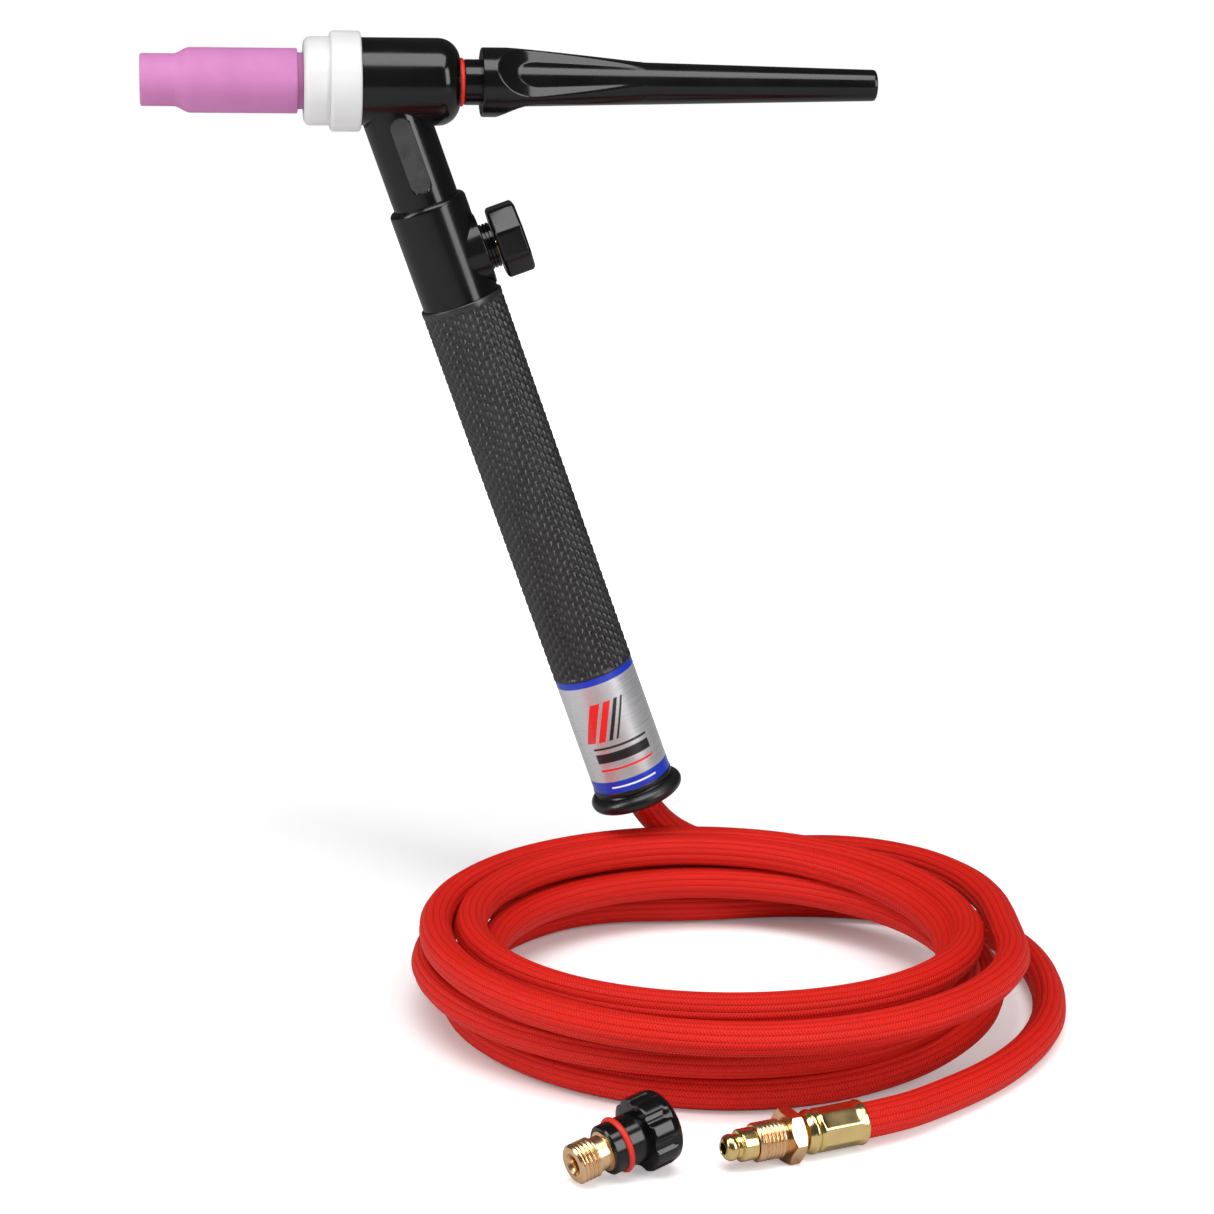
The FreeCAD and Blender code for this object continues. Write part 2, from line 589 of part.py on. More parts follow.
# ---- hose ------------------------------------------------------------------------------------
def cord_path(route):
    """Straight runs joined by tangent arcs, each as large as its two runs allow."""
    points = [Vector(*point) for point in route]
    edges = []
    radii = []
    here = points[0]
    for index in range(1, len(points) - 1):
        before = points[index - 1] - points[index]
        after = points[index + 1] - points[index]
        reach = 0.45 * min(before.Length, after.Length)
        half_turn = (math.pi - before.getAngle(after)) / 2
        radius = reach / math.tan(half_turn)
        radii.append(radius)
        enter = points[index] + before.normalize() * reach
        leave = points[index] + after.normalize() * reach
        towards = (before + after).normalize()
        middle = points[index] + towards * (radius / math.cos(half_turn) - radius)
        edges.append(Part.LineSegment(here, enter).toShape())
        edges.append(Part.Arc(enter, middle, leave).toShape())
        here = leave
    edges.append(Part.LineSegment(here, points[-1]).toShape())
    return Part.Wire(edges), radii


def cord_tube(name, route):
    """Round tube along a route; prints its radii and compares its volume with its length."""
    path, radii = cord_path(route)
    start = Vector(*route[0])
    heading = Vector(*route[1]) - start
    section = Part.Wire([Part.makeCircle(HOSE_R, start, heading)])
    tube = path.makePipeShell([section], True, False)
    expected = math.pi * HOSE_R ** 2 * path.Length
    print(name, "length", round(path.Length, 1), "tightest radius", round(min(radii), 1),
          "radii", [round(radius) for radius in radii], "volume ratio",
          round(tube.Volume / expected, 4))
    return tube


def hose_coil():
    """Outer shape of the coiled hose: a ring as high as its layers, with rounded edges."""
    height = COIL_LAYERS * 2 * HOSE_R
    shape = pipe(COIL_OUTER_R, COIL_INNER_R, 0, height)
    shape = rounded(shape, HOSE_R, (0, COIL_OUTER_R), (0, COIL_INNER_R),
                    (height, COIL_OUTER_R), (height, COIL_INNER_R))
    shape.translate(Vector(COIL_CENTRE[0], COIL_CENTRE[1], FLOOR_Z))
    return shape


# ---- fitting ---------------------------------------------------------------------------------
FERRULE_R = HOSE_R + 0.7
FERRULE_LENGTH = 15.5
STEM_R = 3.1
NUT_BACK = FERRULE_LENGTH + 1.6
NUT_HEX_LENGTH = 4.0
NUT_THREAD_LENGTH = 7.6
NOSE_RING_R = 3.95
NOSE_RING_LENGTH = 4.4
NOSE_BALL_R = 3.3


def on_fitting(shape):
    """Z of the shape's own frame runs from the hose's end to the tip of the fitting."""
    base = Vector(*TAIL_ROUTE[-1])
    axis = (base - Vector(*TAIL_ROUTE[-2])).normalize()
    return placed(shape, base, axis, Z)


def hose_ferrule():
    """Crimped brass ferrule: rolled mouth over the hose, flats of the crimp, necked front."""
    front = FERRULE_LENGTH
    outline = [(-1.0, HOSE_R), (-1.0, FERRULE_R + 0.25), (0.6, FERRULE_R + 0.25),
               (1.2, FERRULE_R), (front - 3.2, FERRULE_R), (front - 2.6, FERRULE_R - 0.5),
               (front - 1.6, FERRULE_R), (front - 0.6, FERRULE_R - 0.2),
               (front, FERRULE_R - 0.9), (front, STEM_R), (0, STEM_R), (0, HOSE_R)]
    shape = turned(outline)
    flat = Part.makeBox(2, 12, FERRULE_LENGTH - 6, Vector(FERRULE_R - 0.3, -6, 1.9))
    return on_fitting(shape.cut(turns_about_z(flat, 8)))


def fitting_nipple():
    """Brass nipple through the nut: stem, shoulder ring, rounded nose and a gas bore."""
    nut_front = NUT_BACK + NUT_HEX_LENGTH + NUT_THREAD_LENGTH
    shoulder = nut_front + 0.15
    ring_end = shoulder + NOSE_RING_LENGTH
    outline = [(0, 1.4), (0, STEM_R), (shoulder, STEM_R), (shoulder, NOSE_RING_R),
               (ring_end - 0.7, NOSE_RING_R), (ring_end - 0.2, NOSE_RING_R - 0.9),
               (ring_end + 0.3, NOSE_RING_R - 0.9), (ring_end + 0.5, NOSE_BALL_R - 0.15),
               ((ring_end + 2.3, NOSE_BALL_R - 0.35), (ring_end + 3.6, 1.9)),
               (ring_end + 3.6, 1.4)]
    return on_fitting(turned(outline))


def fitting_nut():
    """Brass union nut that turns on the nipple: hexagon, relief and outside thread."""
    hex_end = NUT_BACK + NUT_HEX_LENGTH
    front = hex_end + NUT_THREAD_LENGTH
    corner_r = HEX_FLATS / 2 / math.cos(math.pi / 6)
    hexagon = prism(6, HEX_FLATS, NUT_BACK, hex_end)
    bevel = turned([(NUT_BACK, 0), (NUT_BACK, corner_r - 0.5), (NUT_BACK + 0.5, corner_r + 0.1),
                    (hex_end - 1.2, corner_r + 0.1), (hex_end, HEX_FLATS / 2 - 0.4),
                    (hex_end, 0)])
    thread = turned([(hex_end - 0.5, 0), (hex_end - 0.5, POWER_THREAD_R - 0.6),
                     (hex_end + 0.6, POWER_THREAD_R - 0.6), (hex_end + 0.9, POWER_THREAD_R),
                     (front - 0.5, POWER_THREAD_R), (front, POWER_THREAD_R - 0.5), (front, 0)])
    shape = hexagon.common(bevel).fuse(thread)
    return on_fitting(shape.cut(disc(STEM_R + RUNNING, NUT_BACK - 1, front + 1)))


# ---- spare short back cap --------------------------------------------------------------------
SPARE_BARREL_START = SPARE_HEAD_LENGTH
SPARE_BARREL_END = SPARE_BARREL_START + SPARE_BARREL_LENGTH
SPARE_RING_AT = SPARE_BARREL_END + SEAL_CORD_R
SPARE_COLLAR_END = SPARE_RING_AT + SEAL_CORD_R + 3.0


def on_spare(shape):
    """Z of the shape's own frame runs from the rear of the spare cap's head to its brass end."""
    turn = math.radians(SPARE_ANGLE)
    tilt = math.radians(SPARE_TILT)
    axis = Vector(-math.cos(turn) * math.cos(tilt), -math.sin(turn) * math.cos(tilt),
                  -math.sin(tilt))
    level = Vector(-math.sin(turn), math.cos(turn), 0)
    lift = SPARE_HEAD_R * math.cos(tilt) + SPARE_HEAD_LENGTH * math.sin(tilt)
    base = Vector(SPARE_AT[0], SPARE_AT[1], FLOOR_Z + lift)
    return placed(shape, base, axis, level)


def spare_cap_shell():
    """Short back cap: domed, fluted head, barrel, seal groove and collar."""
    groove_r = CAP_BARREL_R - SEAL_CORD_R
    outline = [(0, 0), (0, SPARE_HEAD_R - 3.2),
               ((0.75, SPARE_HEAD_R - 1.4), (2.6, SPARE_HEAD_R - 0.35)),
               (SPARE_HEAD_LENGTH, SPARE_HEAD_R), (SPARE_HEAD_LENGTH, CAP_BARREL_R),
               (SPARE_BARREL_END, CAP_BARREL_R), (SPARE_BARREL_END, groove_r),
               (SPARE_RING_AT + SEAL_CORD_R, groove_r),
               (SPARE_RING_AT + SEAL_CORD_R, CAP_BARREL_R),
               (SPARE_COLLAR_END - 0.4, CAP_BARREL_R), (SPARE_COLLAR_END, CAP_BARREL_R - 0.4),
               (SPARE_COLLAR_END, 0)]
    shape = turned(outline)
    flute = Part.makeCylinder(2.6, SPARE_HEAD_LENGTH, Vector(SPARE_HEAD_R + 1.7, 0, 2.4), Z)
    shape = shape.cut(turns_about_z(flute, SPARE_FLUTES))
    return on_spare(shape.cut(disc(CAP_THREAD_R, SPARE_BARREL_START, SPARE_COLLAR_END + 1)))


def spare_cap_o_ring():
    return on_spare(ring(CAP_BARREL_R, SEAL_CORD_R, SPARE_RING_AT))


def spare_cap_ferrule():
    """Brass insert of the spare cap: plain neck and outside thread."""
    neck_end = SPARE_COLLAR_END + 3.4
    end = neck_end + 5.4
    outline = [(SPARE_BARREL_START, CAP_BORE_R), (SPARE_BARREL_START, CAP_THREAD_R),
               (SPARE_COLLAR_END + 0.3, CAP_THREAD_R), (SPARE_COLLAR_END + 0.6, CAP_THREAD_R - 0.7),
               (neck_end, CAP_THREAD_R - 0.7), (neck_end + 0.2, CAP_THREAD_R),
               (end - 0.5, CAP_THREAD_R), (end, CAP_THREAD_R - 0.5), (end, CAP_BORE_R + 1.0),
               (end - 1.6, CAP_BORE_R)]
    return on_spare(turned(outline))


PIECES = {
    "nozzle": nozzle, "cup_gasket": cup_gasket, "torch_body": torch_body, "neck_tube": neck_tube,
    "head_cover": head_cover, "collet_body": collet_body, "collet": collet,
    "electrode": electrode, "cap_shell": cap_shell, "cap_ferrule": cap_ferrule,
    "cap_o_ring": cap_o_ring, "valve_body": valve_body, "valve_block": valve_block,
    "valve_retainer": valve_retainer, "valve_knob": valve_knob, "valve_spindle": valve_spindle,
    "knob_screw": knob_screw, "valve_o_ring": valve_o_ring, "handle_sleeve": handle_sleeve,
    "label_band": label_band, "handle_boot": handle_boot, "cable_connector": cable_connector,
    "cable_crimp": cable_crimp, "handle_hose": handle_hose, "power_core": power_core,
    "hose_coil": hose_coil, "hose_ferrule": hose_ferrule, "fitting_nipple": fitting_nipple,
    "fitting_nut": fitting_nut, "spare_cap_shell": spare_cap_shell,
    "spare_cap_o_ring": spare_cap_o_ring, "spare_cap_ferrule": spare_cap_ferrule,
}

for name, build in PIECES.items():
    build().exportStep("parts/" + name + ".step")
for name, route in (("hose_lead", LEAD_ROUTE), ("hose_tail", TAIL_ROUTE)):
    cord_tube(name, route).exportStep("parts/" + name + ".step")
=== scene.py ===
"""Builds the looks of a gas-cooled TIG torch, its hose, fitting and spare back cap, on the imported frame."""
import json
import math

import bmesh
import bpy
from bpy.props import FloatProperty, FloatVectorProperty, IntProperty, PointerProperty
from mathutils import Matrix, Vector


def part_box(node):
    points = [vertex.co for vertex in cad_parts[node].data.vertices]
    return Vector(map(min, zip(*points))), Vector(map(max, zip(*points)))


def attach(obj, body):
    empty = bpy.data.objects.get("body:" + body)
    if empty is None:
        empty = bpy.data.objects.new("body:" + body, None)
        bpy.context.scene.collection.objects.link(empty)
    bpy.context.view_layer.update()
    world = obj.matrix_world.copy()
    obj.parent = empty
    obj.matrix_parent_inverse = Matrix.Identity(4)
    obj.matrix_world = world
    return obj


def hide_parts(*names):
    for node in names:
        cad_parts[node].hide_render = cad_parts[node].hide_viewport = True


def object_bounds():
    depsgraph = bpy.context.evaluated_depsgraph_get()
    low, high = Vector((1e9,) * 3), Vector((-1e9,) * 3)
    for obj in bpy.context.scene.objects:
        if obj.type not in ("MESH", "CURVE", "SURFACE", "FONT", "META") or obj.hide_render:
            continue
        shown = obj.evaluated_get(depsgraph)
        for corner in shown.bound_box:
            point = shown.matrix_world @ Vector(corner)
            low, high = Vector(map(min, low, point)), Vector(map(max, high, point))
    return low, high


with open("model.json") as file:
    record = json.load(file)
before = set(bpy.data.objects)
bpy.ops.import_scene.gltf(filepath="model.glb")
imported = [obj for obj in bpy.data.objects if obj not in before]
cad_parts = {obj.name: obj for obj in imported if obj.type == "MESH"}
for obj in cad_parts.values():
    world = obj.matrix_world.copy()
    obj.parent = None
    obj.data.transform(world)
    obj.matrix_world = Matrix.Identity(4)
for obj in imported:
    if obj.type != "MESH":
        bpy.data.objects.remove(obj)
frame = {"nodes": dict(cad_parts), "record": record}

bl_info = {
    "name": "TIG torch",
    "version": (1, 0, 0),
    "blender": (4, 5, 0),
    "location": "3D View > Sidebar > Torch",
    "description": "Builds a gas-cooled TIG torch with its braided hose, brass fitting and spare back cap",
    "category": "Object",
}

CAD_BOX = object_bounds()
MM = 0.001
UP = Vector((0, 0, 1))
MOUNTS = {mount["name"]: mount for mount in frame["record"]["mounts"]}


# ---- frames of the torch's axes, in millimetres
def local_frame(base, axis, side):
    """Matrix from millimetres with Z on the axis and X to the side, to metres in the torch's frame."""
    third = axis.cross(side)
    turn = Matrix((side, third, axis)).transposed().to_4x4()
    return Matrix.Translation(base) @ turn @ Matrix.Scale(MM, 4)


def middle_of(node):
    low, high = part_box(node)
    return (low + high) / 2


ALONG = Vector(MOUNTS["grip"]["axis"]).normalized()          # down the handle
ACROSS = Vector((-ALONG.z, 0, ALONG.x))                      # towards the valve knob
CROSSING = ALONG * (middle_of("nozzle").z / ALONG.z)         # where head and handle axes cross
HEAD = local_frame(CROSSING, Vector((1, 0, 0)), UP)
HANDLE = local_frame(CROSSING, ALONG, ACROSS)
VALVE_AT = (middle_of("valve_retainer") - CROSSING).dot(ALONG)   # metres down the handle
VALVE = local_frame(CROSSING + ALONG * VALVE_AT, ACROSS, Vector((0, 1, 0)))
POWER_AXIS = Vector(MOUNTS["power_thread"]["axis"]).normalized()
POWER_THREAD_AT = 25.1                                       # millimetres from the fitting's zero
FITTING = local_frame(Vector(MOUNTS["power_thread"]["pos_m"]) - POWER_AXIS * POWER_THREAD_AT * MM,
                      POWER_AXIS, UP)
FLOOR_Z = CAD_BOX[0][2]

SPARE_TURN = math.radians(26.0)
SPARE_TILT = math.radians(11.0)
SPARE_AXIS = Vector((-math.cos(SPARE_TURN) * math.cos(SPARE_TILT),
                     -math.sin(SPARE_TURN) * math.cos(SPARE_TILT), -math.sin(SPARE_TILT)))
SPARE_LEVEL = Vector((-math.sin(SPARE_TURN), math.cos(SPARE_TURN), 0))


def span(node, place):
    """Start and end of a CAD node along the Z axis of a frame, in millimetres."""
    into = place.inverted()
    heights = [(into @ vertex.co).z for vertex in frame["nodes"][node].data.vertices]
    return min(heights), max(heights)


def spare_frame():
    """Frame of the spare cap: zero at the rear of its head, Z towards its brass end."""
    seal = middle_of("spare_cap_o_ring")
    return local_frame(seal - SPARE_AXIS * SPARE_SEAL_AT * MM, SPARE_AXIS, SPARE_LEVEL)


# ---- sizes in millimetres that several pieces share
SEAL_CORD_R = 0.78
CAP_THREAD_R = 4.9
CAP_BARREL_R = 6.15
HEAD_R = 11.75
NECK_R = 9.1
HOSE_R = 4.6
HEAD_BORE_R = 6.6
SLEEVE_BORE_R = 9.0
LABEL_SEAT_R = 11.15
SPARE_HEAD_LENGTH = 8.6
SPARE_BARREL_END = SPARE_HEAD_LENGTH + 4.8
SPARE_SEAL_AT = SPARE_BARREL_END + SEAL_CORD_R
SPARE_COLLAR_END = SPARE_SEAL_AT + SEAL_CORD_R + 3.0
SPARE = spare_frame()

# route of the hose, in metres: from inside the boot to the coil, and from the coil to the ferrule
LEAD_ROUTE = [
    (0.0276, 0.0, -0.0759), (0.0324, 0.0, -0.0890), (0.0372, 0.0022, -0.0975),
    (0.0446, 0.0070, -0.1055), (0.0555, 0.0095, -0.1110), (0.0740, 0.0090, -0.1125),
    (0.0945, 0.0005, -0.1095), (0.1110, -0.0185, -0.1065), (0.1210, -0.0400, -0.1052),
    (0.1240, -0.0600, -0.1052), (0.1225, -0.0780, -0.1052),
]
TAIL_ROUTE = [
    (0.0520, -0.0065, -0.1234), (0.0720, -0.0045, -0.1234), (0.0920, -0.0065, -0.1234),
    (0.1110, -0.0130, -0.1234), (0.1260, -0.0255, -0.1234), (0.1345, -0.0420, -0.1234),
    (0.1370, -0.0620, -0.1234), (0.1350, -0.0830, -0.1234), (0.1290, -0.1040, -0.1234),
    (0.1185, -0.1225, -0.1234), (0.1045, -0.1385, -0.1234), (0.0885, -0.1520, -0.1230),
    (0.0758, -0.1624, -0.1220), (0.0645, -0.1665, -0.1220),
]
POINTS_PER_TURN = 16
COIL_START = -24.0      # direction of the first point from the coil's middle, in degrees from +X
COIL_CUT = 106.0        # degrees of the last turn that the tail's own points replace
COIL_SPREAD = 1.015     # the spline runs inside its control points, so they are moved out by this
# radii in millimetres of each turn at its front, left, back and right, and its height in layers
COIL_TURNS = [
    ((80.0, 76.0, 71.5, 67.5), (2, 2, 2, 2)),
    ((60.0, 66.5, 64.5, 63.0), (2, 2, 2, 1.6)),
    ((62.5, 61.5, 62.0, 66.0), (1, 1, 1, 1)),
    ((71.0, 78.0, 72.5, 73.5), (1, 1, 1, 0.6)),
    ((69.5, 70.0, 73.0, 70.0), (0, 0, 0, 0)),
]


# ---- settings that a user would change
class TorchSizes(bpy.types.PropertyGroup):
    """Sizes of the torch's fine detail."""
    knurl_columns: IntProperty(
        name="Knurl columns", description="Columns of bumps round the grip", default=38, min=12)
    knurl_pitch: FloatProperty(
        name="Knurl pitch", description="Distance between bumps along the grip",
        default=0.0027, unit="LENGTH")
    knurl_height: FloatProperty(
        name="Knurl height", description="Height of the bumps on the grip",
        default=0.00060, unit="LENGTH")
    hose_ridges: IntProperty(
        name="Hose ridges", description="Lengthwise ridges round the braided hose", default=15, min=6)
    ridge_height: FloatProperty(
        name="Ridge height", description="Height of the hose's lengthwise ridges",
        default=0.00022, unit="LENGTH")
    thread_pitch: FloatProperty(
        name="Thread pitch", description="Pitch of the brass outside threads",
        default=0.00105, unit="LENGTH")


COLOUR = {"subtype": "COLOR", "size": 4, "min": 0, "max": 1}


class TorchColours(bpy.types.PropertyGroup):
    """Colours of the torch's finishes."""
    cup: FloatVectorProperty(
        name="Gas cup", description="Fired alumina of the gas cup",
        default=(0.45, 0.16, 0.36, 1), **COLOUR)
    moulding: FloatVectorProperty(
        name="Moulding", description="Glossy black mouldings",
        default=(0.0030, 0.0030, 0.0032, 1), **COLOUR)
    grip: FloatVectorProperty(
        name="Grip", description="Satin black knurled grip",
        default=(0.013, 0.013, 0.0135, 1), **COLOUR)
    braid: FloatVectorProperty(
        name="Braid", description="Nylon braid of the hose",
        default=(0.74, 0.014, 0.007, 1), **COLOUR)
    band: FloatVectorProperty(
        name="Label bands", description="Printed bands of the label",
        default=(0.004, 0.028, 0.42, 1), **COLOUR)
    brass: FloatVectorProperty(
        name="Brass", description="Bright brass of the fitting",
        default=(0.92, 0.69, 0.30, 1), **COLOUR)


# ---- shader node helpers
def add_node(tree, kind, inputs=None, **settings):
    """Add a node, give its settings, and set or link its inputs."""
    made = tree.nodes.new(kind)
    for key, value in settings.items():
        setattr(made, key, value)
    for key, value in (inputs or {}).items():
        if isinstance(value, bpy.types.NodeSocket):
            tree.links.new(value, made.inputs[key])
        else:
            made.inputs[key].default_value = value
    return made


def maths(tree, operation, first, second=0.5):
    """Output of a Math node."""
    return add_node(tree, "ShaderNodeMath", {0: first, 1: second}, operation=operation).outputs[0]


def ramp_between(tree, value, low, high, to_low=0.0, to_high=1.0):
    """Output of a smooth Map Range from low..high."""
    inputs = {"Value": value, "From Min": low, "From Max": high, "To Min": to_low, "To Max": to_high}
    return add_node(tree, "ShaderNodeMapRange", inputs, interpolation_type="SMOOTHSTEP").outputs[0]


def noise(tree, vector, scale, detail=2.0):
    """Output of a Noise Texture."""
    inputs = {"Vector": vector, "Scale": scale, "Detail": detail}
    return add_node(tree, "ShaderNodeTexNoise", inputs).outputs[0]


def mix_colours(tree, factor, first, second):
    made = add_node(tree, "ShaderNodeMix", data_type="RGBA")
    for socket, value in ((made.inputs[0], factor), (made.inputs[6], first), (made.inputs[7], second)):
        if isinstance(value, bpy.types.NodeSocket):
            tree.links.new(value, socket)
        else:
            socket.default_value = value
    return made.outputs[2]


def shade(colour, factor):
    """A colour scaled in brightness."""
    return tuple(min(1.0, channel * factor) for channel in colour[:3]) + (1.0,)


def group_with(name, inputs, outputs):
    """Empty shader node group with float, vector or colour sockets."""
    group = bpy.data.node_groups.new(name, "ShaderNodeTree")
    for label, kind in inputs:
        group.interface.new_socket(label, in_out="INPUT", socket_type="NodeSocket" + kind)
    for label, kind in outputs:
        group.interface.new_socket(label, in_out="OUTPUT", socket_type="NodeSocket" + kind)
    return group, group.nodes.new("NodeGroupInput"), group.nodes.new("NodeGroupOutput")


def surface_group():
    """Soft changes of colour and roughness over a surface, with fine grain as a height."""
    if "Surface variation" in bpy.data.node_groups:
        return bpy.data.node_groups["Surface variation"]
    group, given, result = group_with(
        "Surface variation",
        [("Vector", "Vector"), ("Colour", "Color"), ("Second colour", "Color"), ("Patch scale", "Float"),
         ("Grain scale", "Float"), ("Low roughness", "Float"), ("High roughness", "Float")],
        [("Colour", "Color"), ("Roughness", "Float"), ("Height", "Float")])
    patch = noise(group, given.outputs["Vector"], given.outputs["Patch scale"], 4.0)
    grain = noise(group, given.outputs["Vector"], given.outputs["Grain scale"])
    spread = ramp_between(group, patch, 0.35, 0.65)
    colour = mix_colours(group, spread, given.outputs["Colour"], given.outputs["Second colour"])
    roughness = ramp_between(group, patch, 0.3, 0.7, given.outputs["Low roughness"],
                             given.outputs["High roughness"])
    group.links.new(colour, result.inputs["Colour"])
    group.links.new(roughness, result.inputs["Roughness"])
    group.links.new(grain, result.inputs["Height"])
    return group


def turned_group():
    """Fine rings left by turning, from a coordinate that runs along the axis in millimetres."""
    if "Turned marks" in bpy.data.node_groups:
        return bpy.data.node_groups["Turned marks"]
    group, given, result = group_with(
        "Turned marks", [("Vector", "Vector"), ("Scale", "Float")], [("Height", "Float")])
    parts = add_node(group, "ShaderNodeSeparateXYZ", {0: given.outputs["Vector"]})
    along = maths(group, "MULTIPLY", parts.outputs[1], given.outputs["Scale"])
    line = add_node(group, "ShaderNodeCombineXYZ", {1: along})
    group.links.new(noise(group, line.outputs[0], 1.0, 3.0), result.inputs["Height"])
    return group


def start_material(name, metallic=0.0, coat=0.0, specular=0.5):
    """New material whose Principled shader has its constants set; returns it with its tree and shader."""
    material = bpy.data.materials.new(name)
    material.use_nodes = True
    tree = material.node_tree
    shader = tree.nodes["Principled BSDF"]
    shader.inputs["Metallic"].default_value = metallic
    shader.inputs["Coat Weight"].default_value = coat
    shader.inputs["Coat Roughness"].default_value = 0.04
    shader.inputs["Specular IOR Level"].default_value = specular
    return material, tree, shader


def vary_surface(tree, shader, vector, colour, second, patch, grain, rough, bump):
    """Feed a shader from the surface group; rough is (low, high), bump (strength, distance)."""
    effect = add_node(tree, "ShaderNodeGroup", {}, node_tree=surface_group())
    tree.links.new(vector, effect.inputs["Vector"])
    settings = {"Colour": colour, "Second colour": second, "Patch scale": patch, "Grain scale": grain,
                "Low roughness": rough[0], "High roughness": rough[1]}
    for key, value in settings.items():
        effect.inputs[key].default_value = value
    tree.links.new(effect.outputs["Colour"], shader.inputs["Base Color"])
    tree.links.new(effect.outputs["Roughness"], shader.inputs["Roughness"])
    raised = add_node(tree, "ShaderNodeBump", {
        "Height": effect.outputs["Height"], "Strength": bump[0], "Distance": bump[1]})
    tree.links.new(raised.outputs[0], shader.inputs["Normal"])
    return effect, raised


def plain_finish(name, colour, second, scales, rough, bump, **start):
    """Unpatterned finish; scales is (patch, grain), and start goes to start_material."""
    material, tree, shader = start_material(name, **start)
    vary_surface(tree, shader, object_coordinates(tree), colour, second, *scales, rough, bump)
    return material


def object_coordinates(tree):
    return add_node(tree, "ShaderNodeTexCoord").outputs["Object"]


def uv_coordinates(tree):
    return add_node(tree, "ShaderNodeTexCoord").outputs["UV"]


def once(build):
    """Keep the material that a function builds, so that pieces of one finish share it."""
    made = []

    def shared():
        if not made:
            made.append(build())
        return made[0]
    return shared


@once
def pink_alumina():
    colour = tuple(bpy.context.scene.torch_colours.cup)
    return plain_finish("Pink alumina", colour, shade(colour, 0.93), (90.0, 2600.0), (0.62, 0.78),
                        (0.25, 0.00012), specular=0.35)


@once
def white_ptfe():
    material = plain_finish("White heat shield", (0.55, 0.55, 0.555, 1), (0.59, 0.59, 0.595, 1),
                            (60.0, 1800.0), (0.34, 0.46), (0.12, 0.0001), specular=0.4)
    shader = material.node_tree.nodes["Principled BSDF"]
    shader.inputs["Subsurface Weight"].default_value = 0.15
    shader.inputs["Subsurface Radius"].default_value = (0.002, 0.002, 0.002)
    return material


@once
def gloss_black():
    colour = tuple(bpy.context.scene.torch_colours.moulding)
    return plain_finish("Gloss black moulding", colour, shade(colour, 1.5), (45.0, 420.0), (0.13, 0.20),
                        (0.05, 0.00008), coat=0.1, specular=0.34)


@once
def panel_black():
    """Spark-textured floor of the neck's recess."""
    return plain_finish("Textured black", (0.022, 0.022, 0.023, 1), (0.032, 0.032, 0.033, 1),
                        (220.0, 3200.0), (0.50, 0.62), (0.6, 0.00012))


@once
def grip_black():
    colour = tuple(bpy.context.scene.torch_colours.grip)
    return plain_finish("Satin black grip", colour, shade(colour, 1.3), (160.0, 2400.0), (0.30, 0.40),
                        (0.2, 0.00008), specular=0.65)


@once
def black_rubber():
    return plain_finish("Black rubber", (0.006, 0.006, 0.006, 1), (0.011, 0.011, 0.011, 1),
                        (70.0, 1500.0), (0.26, 0.38), (0.18, 0.0001))


@once
def red_silicone():
    return plain_finish("Red silicone", (0.60, 0.022, 0.008, 1), (0.50, 0.015, 0.008, 1),
                        (120.0, 1600.0), (0.42, 0.55), (0.15, 0.0001), specular=0.4)


def metal(name, colour, second, rough, rings=26.0, bump=0.06):
    """Turned metal: rings of the turning from the UV map, with slight stains."""
    material, tree, shader = start_material(name, metallic=1.0)
    effect, raised = vary_surface(tree, shader, object_coordinates(tree), colour, second, 130.0, 2200.0,
                                  rough, (bump, 0.00002))
    rings_node = add_node(tree, "ShaderNodeGroup", {}, node_tree=turned_group())
    tree.links.new(uv_coordinates(tree), rings_node.inputs["Vector"])
    rings_node.inputs["Scale"].default_value = rings
    height = maths(tree, "ADD", effect.outputs["Height"], rings_node.outputs["Height"])
    tree.links.new(height, raised.inputs["Height"])
    return material


@once
def bright_brass():
    colour = tuple(bpy.context.scene.torch_colours.brass)
    return metal("Bright brass", colour, shade(colour, 0.86), (0.17, 0.27))


@once
def pink_brass():
    return metal("Nut brass", (0.90, 0.60, 0.34, 1), (0.82, 0.52, 0.28, 1), (0.20, 0.32))


@once
def bare_copper():
    return metal("Bare copper", (0.80, 0.40, 0.25, 1), (0.66, 0.30, 0.17, 1), (0.24, 0.4))


@once
def ground_tungsten():
    return metal("Ground tungsten", (0.45, 0.45, 0.47, 1), (0.38, 0.38, 0.40, 1), (0.25, 0.4))


@once
def plated_steel():
    return metal("Plated steel", (0.58, 0.58, 0.60, 1), (0.50, 0.50, 0.52, 1), (0.2, 0.33))


def printed(tree, u, v, box, edge=0.12):
    """Mask of a printed oblong: box is (left, right, top, bottom) in millimetres on the label."""
    left = ramp_between(tree, u, box[0] - edge, box[0] + edge)
    right = ramp_between(tree, u, box[1] - edge, box[1] + edge, 1.0, 0.0)
    top = ramp_between(tree, v, box[2] - edge, box[2] + edge)
    bottom = ramp_between(tree, v, box[3] - edge, box[3] + edge, 1.0, 0.0)
    across = maths(tree, "MULTIPLY", left, right)
    return maths(tree, "MULTIPLY", across, maths(tree, "MULTIPLY", top, bottom))


